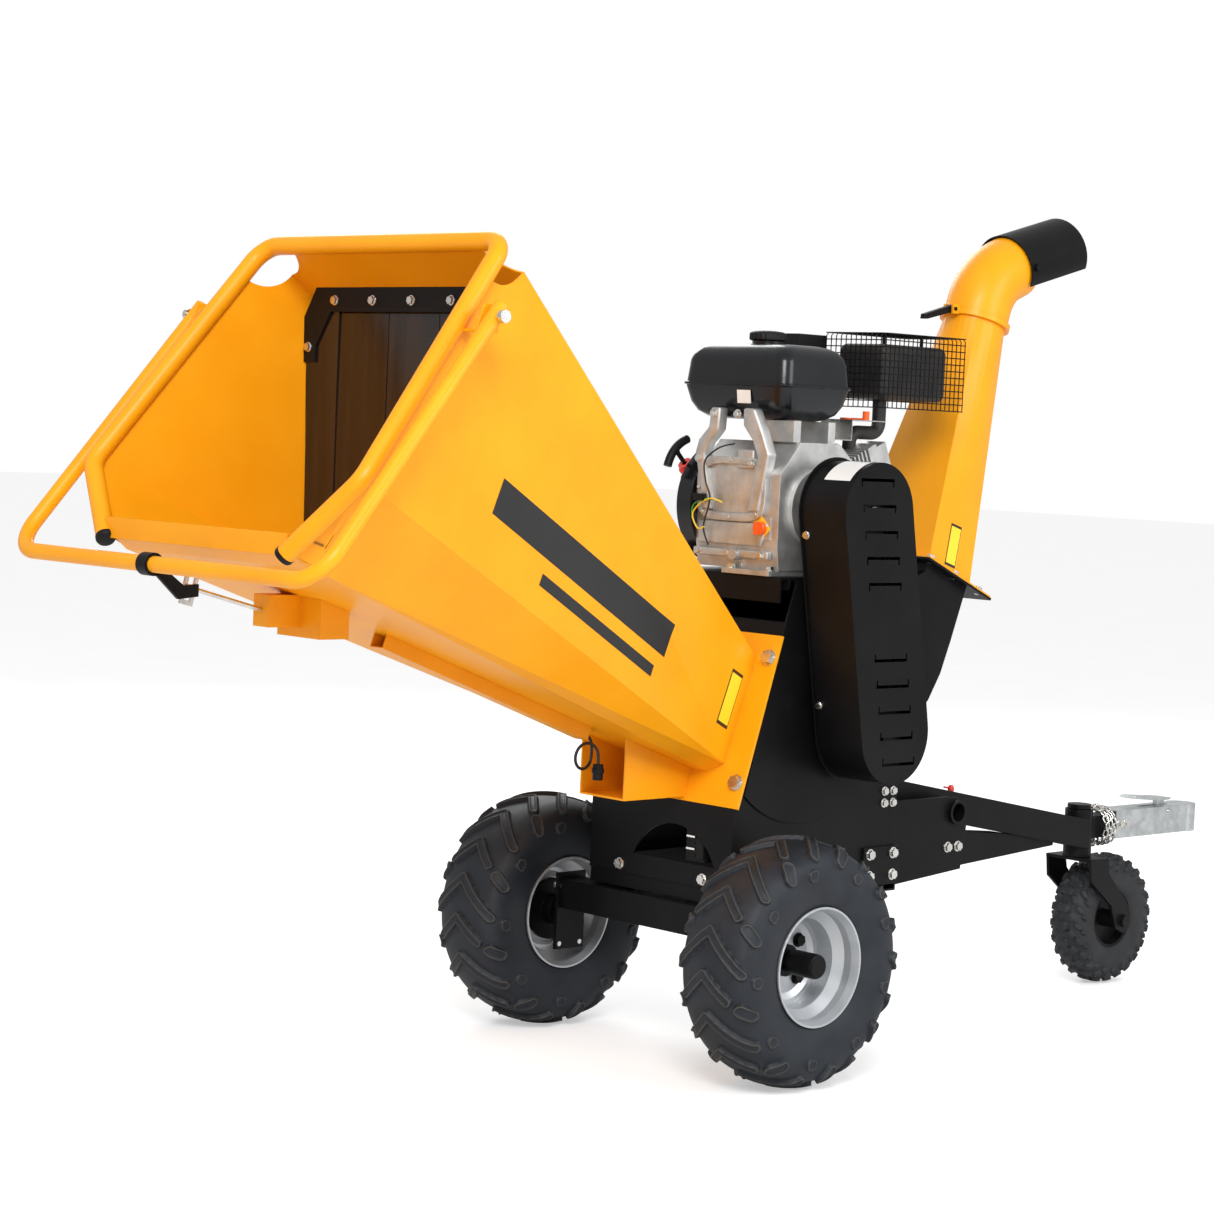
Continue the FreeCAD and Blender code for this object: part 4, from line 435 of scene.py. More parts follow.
def caster_tread(u, s):
    """Rows of small blocks, the rows set half a pitch apart."""
    half = CASTER_PITCH / 2
    u = np.mod(u, CASTER_PITCH)
    blocks = [[((6, 5), (15, 6)), 6.2], [((half + 4, 20), (half + 12, 24)), 6.0],
              [((5, 36), (12, 42)), 6.0], [((half + 4, 50), (half + 9, 56)), 4.6]]
    inside = lug_depth(u, s, CASTER_PITCH, blocks)
    return 6.4 * rise(inside, -1.6, 1.2)


ROAD_HALF = [(-60, 106), (-73, 115), (-82, 138), (-87, 168), (-84, 194), (-73, 212), (-50, 223), (-24, 228)]
ROAD_MERIDIAN = ROAD_HALF + [(0, ROAD_RADIUS)] + [(-y, r) for y, r in reversed(ROAD_HALF)]
CASTER_HALF = [(-33, 66), (-40, 76), (-44, 94), (-43, 114), (-36, 131), (-22, 140)]
CASTER_MERIDIAN = CASTER_HALF + [(0, 143.4)] + [(-y, r) for y, r in reversed(CASTER_HALF)]
around, across = (860, 190) if fine else (420, 100)
for side, label in ((1, "left"), (-1, "right")):
    tyre(f"tyre_{label}_tread", "tyre_" + label, "wheel_" + label, "tyre_rubber", TYRE,
         at(0, side * WHEEL_SIDE, WHEEL_HEIGHT), ROAD_MERIDIAN, around, across, road_tread)
tyre("caster_tyre_tread", "caster_tyre", "caster_wheel", "caster_rubber", CASTER, at(1438, 0, 150),
     CASTER_MERIDIAN, around // 2, across // 2, caster_tread)


def hub_cap(side, node, body):
    """Broad cap over the hub's end."""
    low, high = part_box(node)
    end = low.y if side < 0 else high.y
    profile = [(0.0005, 0.0), (0.024, 0.0), (0.024, 0.052), (0.0225, 0.057), (0.018, 0.0598),
               (0.0005, 0.0598)]
    place = Vector((-AXLE_BACK, end - side * 0.060, WHEEL_HEIGHT * MM))
    data = turned(profile, place, (0, side, 0), 40)
    outward(piece(node + "_cap", *data, BLACK, body, "black_paint", 40))


hub_cap(1, "hub_left", "wheel_left")
hub_cap(-1, "hub_right", "wheel_right")


# ------------------------------------------------------------------
# muffler cage
# ------------------------------------------------------------------
def muffler_cage():
    """Welded wires round the muffler, on the faces of the cage."""
    low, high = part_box("muffler_cage")
    low, high = low + Vector((1, 1, 1)) * 0.0013, high - Vector((1, 1, 1)) * 0.0013
    wire, step = 0.0012, 0.0135
    span = high - low
    across, back, rows = (round(span.x / step), round(span.y / step), round(span.z / step))
    parts = []
    for i in range(across + 1):
        x = low.x + span.x * i / across
        parts.append(swept([(x, low.y, low.z), (x, low.y, high.z - 0.006), (x, low.y + 0.006, high.z),
                            (x, high.y, high.z)], wire, 6))
    for j in range(rows + 1):
        z = low.z + span.z * j / rows
        parts.append(swept([(high.x, low.y - wire, z), (low.x + 0.006, low.y - wire, z),
                            (low.x - wire, low.y + 0.006, z), (low.x - wire, high.y, z)], wire, 6))
    for j in range(1, back + 1):
        y = low.y + span.y * j / back
        parts.append(swept([(low.x, y, low.z), (low.x, y, high.z - 0.006), (low.x + 0.006, y, high.z),
                            (high.x, y, high.z)], wire, 6))
    stay_y = low.y + 0.05
    for x in (low.x + 0.05, high.x - 0.08):
        parts.append(bar((x, stay_y, high.z - 0.022), (x, stay_y, high.z), 0.004))
    obj = piece("muffler_cage_wires", *merged(parts), BLACK, "chassis", "black_paint", 40)
    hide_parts("muffler_cage")


muffler_cage()


# ------------------------------------------------------------------
# fuel tank and cap
# ------------------------------------------------------------------
def rounded_ring(low, high, inset, corner, z, steps=10):
    """Points of a rectangle with round corners."""
    ring = []
    x0, x1 = low.x + inset, high.x - inset
    y0, y1 = low.y + inset, high.y - inset
    centres = [(x1 - corner, y1 - corner, 0), (x0 + corner, y1 - corner, 90),
               (x0 + corner, y0 + corner, 180), (x1 - corner, y0 + corner, 270)]
    for cx, cy, start in centres:
        for k in range(steps + 1):
            a = math.radians(start + 90 * k / steps)
            ring.append(Vector((cx + corner * math.cos(a), cy + corner * math.sin(a), z)))
    return ring


TANK_SEAM = 1.324


def fuel_tank():
    """Pressed tank with a narrow seam flange between its two halves, a filler neck and a blank label."""
    low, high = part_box("fuel_tank")
    seam = TANK_SEAM
    sections = [(0.070, 0.020, low.z + 0.001), (0.048, 0.030, low.z), (0.034, 0.034, low.z + 0.004),
                (0.022, 0.026, low.z + 0.014), (0.012, 0.026, low.z + 0.032), (0.006, 0.026, seam - 0.012),
                (0.004, 0.026, seam - 0.004), (0.0005, 0.028, seam - 0.0025), (0.0005, 0.028, seam + 0.0015),
                (0.005, 0.026, seam + 0.003), (0.006, 0.026, seam + 0.012), (0.009, 0.026, seam + 0.045),
                (0.012, 0.026, seam + 0.056), (0.022, 0.026, seam + 0.070), (0.034, 0.034, seam + 0.077),
                (0.050, 0.030, seam + 0.080), (0.078, 0.020, seam + 0.081)]
    verts = []
    for inset, corner, z in sections:
        verts += rounded_ring(low, high, inset, corner, z)
    count = len(verts) // len(sections)
    faces = grid_faces(len(sections), count, wrap_columns=True)
    faces += [tuple(reversed(range(count))), tuple(range(len(verts) - count, len(verts)))]
    neck = turned([(0.001, 0.0), (0.031, 0.0), (0.031, 0.011), (0.001, 0.011)],
                  at(192, -30, 1400.5), (0, 0, 1))
    obj = piece("fuel_tank_shell", *merged([(verts, faces), neck]), TANK, "chassis", "tank_black", 35)
    outward(obj)
    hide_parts("fuel_tank")
    label = plate(oblong(0.018, 0.013), (low.x + 0.0058, -0.060, 1.299), (0, -1, 0), (-0.14, 0, 1), 0.0006)
    piece("tank_label", *label, LABEL_WHITE, "chassis", "tank_black")


def fuel_cap():
    """Screw cap with grip ridges round its edge."""
    low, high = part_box("fuel_cap")
    middle = (low + high) / 2
    profile = [(0.0005, 0.0), (0.92, 0.0), (1.0, 0.1), (1.0, 0.68), (0.95, 0.8), (0.78, 0.92), (0.4, 1.0),
               (0.0005, 1.0)]
    steps = 96
    verts = []
    radius = (high.x - low.x) / 2
    for i in range(steps):
        t = 2 * math.pi * i / steps
        ridge = 1 - 0.035 * (i % 4 in (0, 1))
        for r, h in profile:
            grip = ridge if 0.9 < r else 1
            verts.append(Vector((middle.x + r * radius * grip * math.cos(t),
                                 middle.y + r * radius * grip * math.sin(t),
                                 low.z + h * (high.z - low.z))))
    faces = grid_faces(steps, len(profile), wrap_rows=True)
    obj = piece("fuel_cap_ridged", verts, faces, PLASTIC, "tank_cap", "tank_black", 40)
    outward(obj)
    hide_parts("fuel_cap")


fuel_tank()
fuel_cap()


# ------------------------------------------------------------------
# engine details
# ------------------------------------------------------------------
def bolt_head(place, direction, size):
    """Flanged hexagon head as mesh data."""
    d = Vector(direction).normalized()
    p = Vector(place)
    side, up = frame_of(d)
    turns = [math.radians(60 * i) for i in range(6)]
    corners = [p + side * (size * math.cos(a)) + up * (size * math.sin(a)) for a in turns]
    verts = [c + d * size * 0.1 for c in corners]
    verts += [c + d * size * 0.95 for c in corners]
    verts += [p + (c - p) * 0.82 + d * size * 1.1 for c in corners]
    faces = [tuple(reversed(range(6))), tuple(range(12, 18))]
    for row in (0, 6):
        faces += [(row + i, row + (i + 1) % 6, row + 6 + (i + 1) % 6, row + 6 + i) for i in range(6)]
    rim = size * 1.35
    washer = turned([(0.0001, 0), (rim, 0), (rim, size * 0.2), (0.0001, size * 0.2)], p, d, 20)
    return merged([(verts, faces), washer])


def ring_plate(outer, inner, origin, across, up, thickness):
    """Flat ring between two outlines with the same number of points."""
    u, v = Vector(across).normalized(), Vector(up).normalized()
    n = u.cross(v)
    verts = []
    for outline, lift in ((outer, 0), (inner, 0), (inner, thickness), (outer, thickness)):
        verts += [Vector(origin) + u * a + v * b + n * lift for a, b in outline]
    return verts, grid_faces(4, len(outer), wrap_rows=True, wrap_columns=True)


def rounded_outline(half_width, half_height, power=4.0, steps=48):
    """Outline between an ellipse and a rectangle."""
    points = []
    for i in range(steps):
        a = 2 * math.pi * i / steps
        c, s = math.cos(a), math.sin(a)
        points.append((half_width * math.copysign(abs(c) ** (2 / power), c),
                       half_height * math.copysign(abs(s) ** (2 / power), s)))
    return points


CRANK = (199, 0, 1085)
ENGINE_FRONT = 95 * MM - AXLE_BACK
COVER = (-0.050, 1.118)
HOPPER_SIDE = ((0, -1, 0), (0, 0, 1))


def crankcase_front():
    """Cast face of the engine on the hopper side: flanged cover, webs, bosses and bolts."""
    origin = (ENGINE_FRONT + 0.002, COVER[0], COVER[1])
    rim = ring_plate(rounded_outline(0.094, 0.064), rounded_outline(0.076, 0.048), origin,
                     *HOPPER_SIDE, 0.013)
    panel = plate(rounded_outline(0.077, 0.049), origin, *HOPPER_SIDE, 0.006)
    skirt = plate([(-0.086, -0.020), (0.082, -0.020), (0.100, 0.026), (-0.092, 0.026)],
                  (ENGINE_FRONT + 0.002, COVER[0], 1.028), *HOPPER_SIDE, 0.009)
    sill = plate([(-0.094, -0.008), (0.108, -0.008), (0.108, 0.008), (-0.094, 0.008)],
                 (ENGINE_FRONT + 0.002, COVER[0], 0.992), *HOPPER_SIDE, 0.014)
    window = plate([(-0.014, -0.018), (0.030, -0.018), (0.030, 0.020), (-0.014, 0.020)],
                   (ENGINE_FRONT + 0.001, COVER[0] - 0.026, 1.176), *HOPPER_SIDE, 0.010)
    castings = [("rim", rim, 0.003), ("panel", panel, 0.002), ("skirt", skirt, 0.004),
                ("sill", sill, 0.003), ("window", window, 0.004)]
    for name, data, width in castings:
        obj = piece("crankcase_cover_" + name, *data, ALLOY, "chassis", "engine_alloy")
        outward(obj)
        bevelled(obj, width)
    bolts = []
    outline = rounded_outline(0.085, 0.056)
    for k in range(0, 48, 6):
        a, b = outline[k]
        bolts.append(bolt_head((ENGINE_FRONT - 0.010, COVER[0] - a, COVER[1] + b), (-1, 0, 0), 0.0046))
    for y in (-0.140, -0.052, 0.030):
        bolts.append(bolt_head((ENGINE_FRONT - 0.011, y, 0.992), (-1, 0, 0), 0.0062))
    piece("crankcase_bolts", *merged(bolts), ZINC, "chassis", "zinc", 30)


def tank_brackets():
    """Cast arms that carry the tank, on the hopper side of the engine."""
    arms = [[(0.020, 1.075), (0.048, 1.186), (0.040, 1.212), (0.014, 1.238), (0.010, 1.276),
             (-0.016, 1.276), (-0.013, 1.232), (0.014, 1.204), (0.023, 1.184), (-0.002, 1.075)],
            [(-0.100, 1.075), (-0.122, 1.182), (-0.106, 1.214), (-0.080, 1.242), (-0.078, 1.276),
             (-0.108, 1.276), (-0.130, 1.236), (-0.153, 1.188), (-0.130, 1.075)]]
    bolts = []
    for k, arm in enumerate(arms):
        outline = [(-y, z) for y, z in arm]
        data = plate(outline, (ENGINE_FRONT + 0.010, 0, 0), *HOPPER_SIDE, 0.026)
        obj = piece("tank_bracket_" + str(k), *data, ALLOY, "chassis", "engine_alloy")
        outward(obj)
        bevelled(obj, 0.005)
        for place, size in ((arm[4], 0.0070), (arm[1], 0.0060)):
            inward = 0.012 if k == 0 else -0.012
            y = place[0] - inward
            bolts.append(bolt_head((ENGINE_FRONT - 0.0165, y, place[1] - 0.012), (-1, 0, 0), size))
    piece("tank_bracket_bolts", *merged(bolts), ZINC, "chassis", "zinc", 30)


STARTER_EYE = (109, 100, 1158)
STARTER_PULL = (-0.722, 0, 0.692)


def recoil_details():
    """Ribs, screws and grommet of the recoil cover."""
    centre = at(*CRANK)
    face = Vector((0, 0.1175, 0))
    ribs = []
    for k in range(12):
        a = math.radians(30 * k)
        out = Vector((math.cos(a), 0, math.sin(a)))
        ribs.append(bar(centre + out * 0.026 + face, centre + out * 0.058 + face, 0.0026))
    piece("recoil_ribs", *merged(ribs), TANK, "chassis", "tank_black", 40)
    screws = []
    for a in (35, 155, 275):
        t = math.radians(a)
        screws.append(bolt_head(centre + Vector((0.110 * math.cos(t), 0.092, 0.110 * math.sin(t))),
                                (0, 1, 0), 0.0048))
    piece("recoil_screws", *merged(screws), ZINC, "chassis", "zinc", 30)
    eye = at(*STARTER_EYE)
    pull = Vector(STARTER_PULL)
    ring = turned([(0.0056, 0.0), (0.016, 0.0), (0.018, 0.004), (0.018, 0.010), (0.0145, 0.014),
                   (0.0145, 0.019), (0.0056, 0.019)], eye - pull * 0.0125, pull, 28)
    obj = piece("recoil_grommet", *ring, RED, "chassis", "switch_red", 40)
    outward(obj)


def pull_grip():
    """Curved T grip on the starter cord."""
    eye = at(*STARTER_EYE)
    pull = Vector(STARTER_PULL)
    middle = eye + pull * 0.046
    up = pull.cross(Vector((0, 1, 0)))
    arc = [middle + up * (0.038 * t) - pull * (0.010 * t * t) for t in np.linspace(-1, 1, 13)]
    verts, faces = swept(arc, 0.0088, 14)
    verts = [Vector(v) for v in verts]
    throat = turned([(0.0004, -0.034), (0.0046, -0.034), (0.0048, -0.012), (0.009, -0.002), (0.0004, 0.0)],
                    middle, pull, 20)
    obj = piece("starter_grip_shape", *merged([(verts, faces), throat]), PLASTIC, "starter_grip",
                "black_plastic", 50)
    outward(obj)
    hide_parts("recoil_handle")


def engine_wires():
    """Short fixed leads between the switch, the coil and the alternator."""
    x = ENGINE_FRONT - 0.012
    runs = [
        ("wire_green", WIRE_GREEN,
         [(x - 0.004, -0.012, 1.094), (x - 0.010, 0.008, 1.094), (x - 0.010, 0.030, 1.088),
          (x - 0.006, 0.046, 1.074), (x, 0.050, 1.052), (x + 0.008, 0.058, 1.060)]),
        ("wire_yellow", WIRE_YELLOW,
         [(x - 0.002, -0.032, 1.090), (x - 0.008, -0.006, 1.096), (x - 0.012, 0.020, 1.084),
          (x - 0.010, 0.040, 1.062), (x - 0.008, 0.026, 1.036), (x - 0.006, 0.010, 1.040)]),
        ("wire_black", CABLE,
         [(x - 0.002, -0.058, 1.206), (x - 0.006, -0.020, 1.196), (x - 0.010, 0.012, 1.170),
          (x - 0.010, 0.008, 1.130), (x - 0.008, -0.004, 1.096), (x - 0.006, 0.012, 1.040),
          (x + 0.004, 0.006, 1.004)]),
    ]
    for name, mat, points in runs:
        piece(name, *swept(smooth_line(points), 0.0017, 8), mat, "chassis", "cable_rubber", 60)
    block = plate(oblong(0.012, 0.007), (x - 0.006, 0.020, 1.098), (0, 1, 0), (0, 0, 1), -0.014)
    obj = piece("wire_connector", *block, PLASTIC, "chassis", "black_plastic")
    bevelled(obj, 0.0015)
    tag = plate(oblong(0.026, 0.018), (x + 0.018, 0.070, 1.084), *HOPPER_SIDE, 0.001)
    piece("coil_label", *tag, LABEL_WHITE, "chassis", "tank_black")


def switch_face():
    """Plate behind the engine switch, set square with its corner up."""
    reach = 0.021 * 1.35
    corners = [(0, -reach), (reach, 0), (0, reach), (-reach, 0)]
    data = plate(corners, at(92, -128, 1044) + Vector((0.0004, 0, 0)), *HOPPER_SIDE, 0.0022)
    obj = piece("switch_face", *data, YELLOW, "chassis", "yellow_black")
    bevelled(obj, 0.0015)


crankcase_front()
tank_brackets()
recoil_details()
pull_grip()
engine_wires()
switch_face()


# ------------------------------------------------------------------
# curtain
# ------------------------------------------------------------------
def curtain_flaps():
    """Rubber flaps with a slight bow and wavy lower edge."""
    low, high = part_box("curtain_flaps")
    count = 3
    width = (high.y - low.y + 0.002) / count
    columns, rows = 14, 60
    parts = []
    for k in range(count):
        y0 = low.y + width * k
        verts = []
        for i in range(rows + 1):
            t = i / rows
            z = high.z + (low.z - high.z) * t
            for j in range(columns + 1):
                s = j / columns
                bow = 0.0022 * math.sin(math.pi * s) * t + 0.0016 * math.sin(5.2 * t + 1.7 * k) * t
                verts.append(Vector((low.x + 0.003 + bow, y0 + (width - 0.002) * s, z)))
        back = [v + Vector((0.0055, 0, 0)) for v in verts]
        size = len(verts)
        faces = grid_faces(rows + 1, columns + 1)
        rear = [tuple(reversed([i + size for i in f])) for f in faces]
        edge = list(range(columns + 1))
        edge += [(r + 1) * (columns + 1) - 1 for r in range(1, rows + 1)]
        edge += [rows * (columns + 1) + c for c in range(columns - 1, -1, -1)]
        edge += [r * (columns + 1) for r in range(rows - 1, 0, -1)]
        ring = [(edge[n], edge[(n + 1) % len(edge)], edge[(n + 1) % len(edge)] + size, edge[n] + size)
                for n in range(len(edge))]
        parts.append((verts + back, faces + rear + ring))
    obj = piece("curtain_flap_rubber", *merged(parts), CURTAIN, "curtain", "curtain_rubber", 45)
    outward(obj)
    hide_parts("curtain_flaps")


def curtain_sides():
    """Clamped rubber at the top and both sides, a little wavy."""
    source = nodes["curtain_sides"].data
    mesh = bmesh.new()
    mesh.from_mesh(source)
    bmesh.ops.remove_doubles(mesh, verts=mesh.verts, dist=1e-6)
    bmesh.ops.triangulate(mesh, faces=mesh.faces)
    for _ in range(2):
        long = [e for e in mesh.edges if e.calc_length() > 0.04]
        bmesh.ops.subdivide_edges(mesh, edges=long, cuts=1, use_grid_fill=False)
        bmesh.ops.triangulate(mesh, faces=mesh.faces)
    for v in mesh.verts:
        v.co.x += 0.0012 * math.sin(16 * v.co.z + 9 * v.co.y)
    data = bpy.data.meshes.new("curtain_side_rubber")
    mesh.to_mesh(data)
    mesh.free()
    data.materials.clear()
    data.materials.append(CURTAIN)
    obj = bpy.data.objects.new("curtain_side_rubber", data)
    bpy.context.scene.collection.objects.link(obj)
    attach(obj, "chassis")
    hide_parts("curtain_sides")


curtain_flaps()
curtain_sides()


# ------------------------------------------------------------------
# hopper details
# ------------------------------------------------------------------
def decal(name, node, corners, ray, mat, slot, lift=0.0006, rows=8, columns=24):
    """Thin film laid on a CAD node between four corners, seen along a ray."""
    a, b, c, d = corners
    ahead = Vector(ray)
    verts = []
    for i in range(rows + 1):
        t = i / rows
        for j in range(columns + 1):
            s = j / columns
            start = (a * (1 - s) + b * s) * (1 - t) + (d * (1 - s) + c * s) * t
            hit, place, _, _ = nodes[node].ray_cast(start, ahead)
            verts.append((place if hit else start) - ahead * lift)
    piece(name, verts, grid_faces(rows + 1, columns + 1), mat, "chassis", slot, 30)


# Well outside the machine, so that rays start clear of it.
CLEAR_SIDE = 600
BAR_SLOPE = -0.49
BAR_LEAN = 0.45


def side_stripes():
    """Plain slanted bars on both hopper sides."""
    bars = [(-770, 1072, 545, 60), (-625, 947, 360, 20)]
    for side, label in ((-1, "right"), (1, "left")):
        y = side * CLEAR_SIDE
        for k, (x, z, length, height) in enumerate(bars):
            drop = BAR_SLOPE * length
            lean = BAR_LEAN * height
            corners = [at(x, y, z), at(x + length, y, z + drop),
                       at(x + length + lean, y, z + drop + height), at(x + lean, y, z + height)]
            decal(f"side_bar_{label}_{k}", "hopper_shell", corners, (0, -side, 0), LABEL_BLACK, "black_paint")


def small_labels():
    """Blank labels with a plain border, where the machine carries its plates."""
    labels = [("hopper_label", "hopper_shell", (0, 716), (0.036, 0, -0.016), (0.034, 0, 0.104)),
              ("chute_label", "chute", (706, 1012), (0.034, 0, -0.010), (0.026, 0, 0.086))]
    ray = (0, 1, 0)
    for name, node, (x, z), across, up in labels:
        centre = at(x, -CLEAR_SIDE, z)
        across, up = Vector(across), Vector(up)
        corners = [centre - across / 2 - up / 2, centre + across / 2 - up / 2,
                   centre + across / 2 + up / 2, centre - across / 2 + up / 2]
        inner = [centre + (c - centre) * 0.88 for c in corners]
        decal(name + "_edge", node, corners, ray, LABEL_BLACK, "black_paint", 0.0005, 4, 4)
        decal(name, node, inner, ray, LABEL_YELLOW, "yellow_black", 0.0009, 4, 4)


def guard_label():
    """Blank white label over the guard's round top."""
    crank = at(*CRANK)
    radius = 0.0985
    verts = []
    for i in range(17):
        a = math.radians(98 + 44 * i / 16)
        for y in (-0.328, -0.312, -0.296, -0.280, -0.262):
            verts.append(Vector((crank.x + radius * math.cos(a), y, crank.z + radius * math.sin(a))))
    obj = piece("guard_label", verts, grid_faces(17, 5), LABEL_WHITE, "chassis", "black_paint", 30)
    outward(obj)


def tube_plugs():
    """Black end caps of the mouth tube."""
    parts = []
    for side in (-1, 1):
        end = at(-1162, side * 257, 997)
        d = Vector((-0.2907, -side * 0.6745, -0.6788)).normalized()
        profile = [(0.0004, 0.0), (0.0178, 0.0), (0.0178, 0.006), (0.0160, 0.0095), (0.0110, 0.0115),
                   (0.0004, 0.012)]
        parts.append(turned(profile, end - d * 0.001, d, 28))
    obj = piece("mouth_tube_plugs", *merged(parts), PLASTIC, "chassis", "black_plastic", 40)
    outward(obj)


def stop_clamp():
    """Black clamp ring and hook plate on the control bar."""
    foot = at(-1234, 0, 964)
    ring = turned([(0.0142, 0.0045), (0.0197, 0.0045), (0.0197, 0.0315), (0.0142, 0.0315)],
                  foot, (0, 1, 0), 32)
    outward(piece("stop_clamp_ring", *ring, BLACK, "stop_bar", "black_paint", 40))
    outline = [(0.0035, -0.0155), (0.0168, -0.0034), (0.0620, -0.0354), (0.0926, -0.0334), (0.0926, -0.0546),
               (0.0518, -0.0586)]
    data = plate(outline, foot + Vector((0, 0.0116, 0)), (1, 0, 0), (0, 0, 1), 0.0071)
    outward(piece("stop_hook_plate", *data, BLACK, "stop_bar", "black_paint"))


def mouth_welds():
    """Side sheets carried on to the mouth tube at its two feet."""
    corners = [(-1158, 257, 1000), (-1112, 372, 1112), (-1096, 368, 1104), (-1108, 272, 978)]
    for side, label in ((-1, "right"), (1, "left")):
        outer = [at(x, side * y, z) for x, y, z in corners]
        inner = [p - Vector((0, side * 0.002, 0)) for p in outer]
        faces = [(0, 1, 2, 3), (7, 6, 5, 4)]
        faces += [(i, (i + 1) % 4, 4 + (i + 1) % 4, 4 + i) for i in range(4)]
        outward(piece("mouth_weld_" + label, outer + inner, faces, ORANGE, "chassis", "orange_paint"))


def relay_marks():
    """Two pale strips on the relay box."""
    low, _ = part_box("relay_box")
    parts = []
    for z in (0.4165, 0.4405):
        parts.append(plate(oblong(0.011, 0.0018), (low.x + 0.0009, -0.080, z), *HOPPER_SIDE, 0.0006))
    outward(piece("relay_marks", *merged(parts), LABEL_WHITE, "chassis", "black_plastic"))


stop_clamp()
mouth_welds()
relay_marks()
side_stripes()
small_labels()
guard_label()
tube_plugs()


# ------------------------------------------------------------------
# towing end
# ------------------------------------------------------------------
LINK_LENGTH = 0.022
LINK_WIDTH = 0.0145
LINK_WIRE = 0.0023


def chain_link(centre, along, flat):
    """One oval link lying in the plane of two directions."""
    u = Vector(along).normalized()
    v = (Vector(flat) - u * Vector(flat).dot(u)).normalized()
    straight = (LINK_LENGTH - LINK_WIDTH) / 2
    r = LINK_WIDTH / 2 - LINK_WIRE
    points = []
    for start, shift in ((-90, straight), (90, -straight)):
        for k in range(7):
            a = math.radians(start + 180 * k / 6)
            points.append(Vector(centre) + u * (shift + r * math.cos(a)) + v * (r * math.sin(a)))
    return swept(points, LINK_WIRE, 7, closed=True)


def safety_chain():
    """Chain wound round the neck, each link turned from the last."""
    low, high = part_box("safety_chain")
    middle = (low + high) / 2
    turns, pitch = 4, 0.0165
    radius = (high.z - low.z) / 2 - 0.0085
    total = int(turns * 2 * math.pi * radius / pitch)
    parts = []
    for k in range(total):
        t = k / (total - 1)
        a = 2 * math.pi * turns * t
        wobble = 0.0020 * math.sin(7.3 * a)
        x = low.x + 0.009 + (high.x - low.x - 0.018) * t
        r = radius - 0.002 + wobble
        place = Vector((x, middle.y + r * math.cos(a), middle.z + r * math.sin(a)))
        along = Vector((0.1, -math.sin(a), math.cos(a)))
        out = Vector((0, math.cos(a), math.sin(a)))
        tilt = out + Vector((1, 0, 0)) if k % 2 else out - Vector((1, 0, 0))
        parts.append(chain_link(place, along, tilt))
    obj = piece("safety_chain_links", *merged(parts), ZINC, "chassis", "chain_steel", 60)
    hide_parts("safety_chain")


safety_chain()


def drawbar_clip():
    """Small red clip on top of the drawbar."""
    place = at(862, -8, 474)
    button = turned([(0.0004, 0), (0.007, 0), (0.007, 0.008), (0.004, 0.013), (0.0004, 0.013)],
                    place, (0, 0, 1), 20)
    arm = bar(place + Vector((0, 0, 0.006)), place + Vector((-0.024, 0, 0.010)), 0.002)
    obj = piece("drawbar_clip", *merged([button, arm]), RED, "chassis", "switch_red", 40)
    outward(obj)


drawbar_clip()


# ------------------------------------------------------------------
# switch cable
# ------------------------------------------------------------------
COIL = (-240.0, -2.0, 600.0)
COIL_R = 26.0
COIL_PITCH = 20.0
CABLE_WIDE = 0.006


def switch_cable():
    """Cable out of the channel's end, one loop, then down to its connector."""
    cx, cy, cz = COIL
    side = cx + COIL_R
    route = [(cx - 4, cy, cz + 45.5), (side - 7, cy, cz + 37), (side, cy, cz + 17)]
    for i in range(13):
        a = math.radians(-30 * i)
        route.append((cx + COIL_R * math.cos(a), cy - COIL_PITCH * i / 12, cz + COIL_R * math.sin(a)))
    route.append((side, cy - COIL_PITCH, cz - 16))
    curve = bpy.data.curves.new("switch_cable_lead", "CURVE")
    curve.dimensions = "3D"
    spline = curve.splines.new("NURBS")
    spline.points.add(len(route) - 1)
    for point, place in zip(spline.points, route):
        point.co = (*at(*place), 1)
    spline.order_u = 3
    spline.use_endpoint_u = True
    spline.resolution_u = 8
    curve.bevel_depth = CABLE_WIDE / 2
    curve.bevel_resolution = 4
    curve.use_fill_caps = True
    curve.materials.append(CABLE)
    obj = bpy.data.objects.new("switch_cable_lead", curve)
    bpy.context.scene.collection.objects.link(obj)
    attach(obj, "chassis")
    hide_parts("switch_cable")


switch_cable()


# ------------------------------------------------------------------
# studio
# ------------------------------------------------------------------
WORLD_LIGHT = 0.62
FLOOR_LIFT = 0.42


def backdrop():
    """White surroundings that light the machine more softly than they look."""
    world = bpy.data.worlds.new("studio_world")
    world.use_nodes = True
    tree = world.node_tree
    path = tree.nodes.new("ShaderNodeLightPath")
    strength = tree.nodes.new("ShaderNodeMapRange")
    strength.inputs["To Min"].default_value = WORLD_LIGHT
    strength.inputs["To Max"].default_value = 1.0
    tree.links.new(path.outputs["Is Camera Ray"], strength.inputs["Value"])
    background = tree.nodes["Background"]
    background.inputs["Color"].default_value = (1.0, 1.0, 1.0, 1)
    tree.links.new(strength.outputs["Result"], background.inputs["Strength"])
    return world


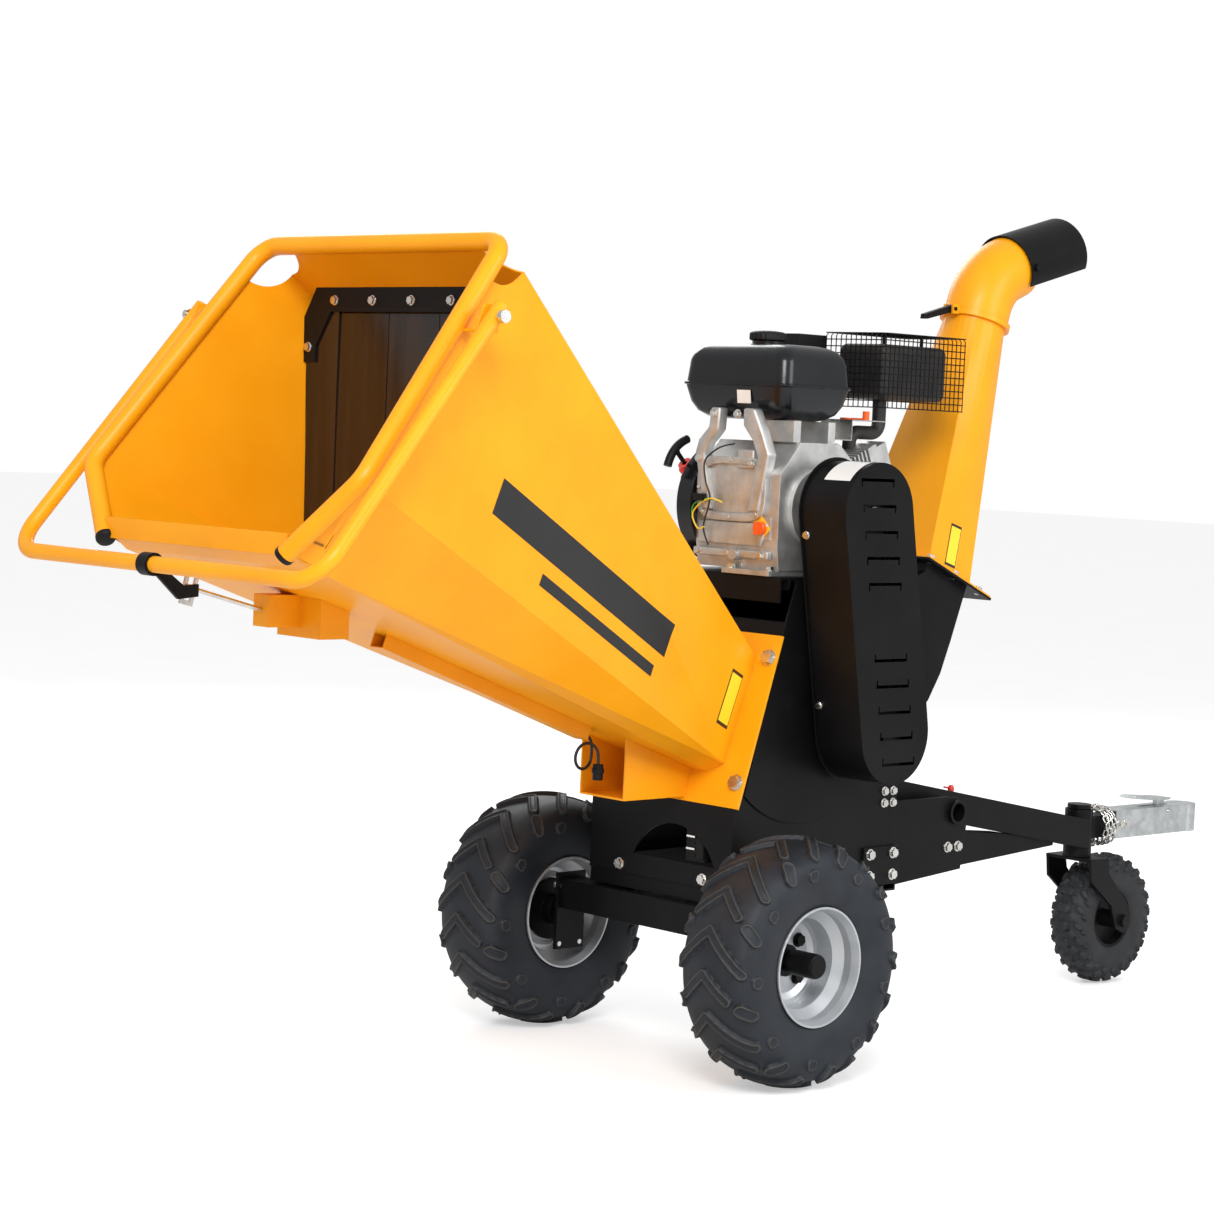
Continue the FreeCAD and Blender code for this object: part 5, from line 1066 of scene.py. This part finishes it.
def studio():
    """Pale floor and soft lights."""
    floor = bpy.data.meshes.new("studio_floor")
    far = 40
    floor.from_pydata([(-far, -far, 0), (far, -far, 0), (far, far, 0), (-far, far, 0)], [], [(0, 1, 2, 3)])
    mat, tree, shader = principled("studio_floor")
    speckle = noise(tree, 3.0)
    tree.links.new(mix_colours(tree, speckle.outputs["Fac"], (0.80, 0.80, 0.80), (0.82, 0.82, 0.82)),
                   shader.inputs["Base Color"])
    shader.inputs["Roughness"].default_value = 0.9
    shader.inputs["Specular IOR Level"].default_value = 0.0
    shader.inputs["Emission Color"].default_value = (1.0, 1.0, 1.0, 1)
    path = tree.nodes.new("ShaderNodeLightPath")
    lift = tree.nodes.new("ShaderNodeMath")
    lift.operation = "MULTIPLY"
    lift.inputs[1].default_value = FLOOR_LIFT
    tree.links.new(path.outputs["Is Camera Ray"], lift.inputs[0])
    tree.links.new(lift.outputs["Value"], shader.inputs["Emission Strength"])
    floor.materials.append(mat)
    obj = bpy.data.objects.new("studio_floor", floor)
    bpy.context.scene.collection.objects.link(obj)
    bpy.context.scene.world = backdrop()
    lamps = [("key", (-4.4, -4.0, 4.4), 300, 2.4), ("side", (1.5, -5.0, 3.0), 110, 2.6),
             ("back", (2.5, 4.5, 4.0), 120, 3.0)]
    for name, place, power, size in lamps:
        light = bpy.data.lights.new(name, "AREA")
        light.energy = power
        light.size = size
        lamp = bpy.data.objects.new(name, light)
        lamp.location = place
        lamp.rotation_euler = (Vector((0, 0, 0.8)) - Vector(place)).to_track_quat("-Z", "Y").to_euler()
        bpy.context.scene.collection.objects.link(lamp)


CAMERA_TURNS = (-43.84777, 3.48665, 2.60815)
CAMERA_PLACE = (-4.31733, -4.03178, 1.22404)
CAMERA_LENS = 86.748


def camera():
    """Camera off the hopper's near corner, at the height of the engine and rolled slightly."""
    azimuth, elevation, roll = (math.radians(v) for v in CAMERA_TURNS)
    back = Vector((math.sin(azimuth) * math.cos(elevation), -math.cos(azimuth) * math.cos(elevation),
                   math.sin(elevation)))
    level = (-back).cross(Vector((0, 0, 1))).normalized()
    plumb = level.cross(-back)
    right = level * math.cos(roll) + plumb * math.sin(roll)
    up = plumb * math.cos(roll) - level * math.sin(roll)
    data = bpy.data.cameras.new("camera")
    data.sensor_width = 36
    data.lens = CAMERA_LENS
    data.clip_end = 100
    obj = bpy.data.objects.new("camera", data)
    turn = Matrix((right, up, back)).transposed().to_4x4()
    obj.matrix_world = Matrix.Translation(CAMERA_PLACE) @ turn
    bpy.context.scene.collection.objects.link(obj)
    bpy.context.scene.camera = obj


studio()
camera()
bpy.context.scene.view_settings.view_transform = "Standard"
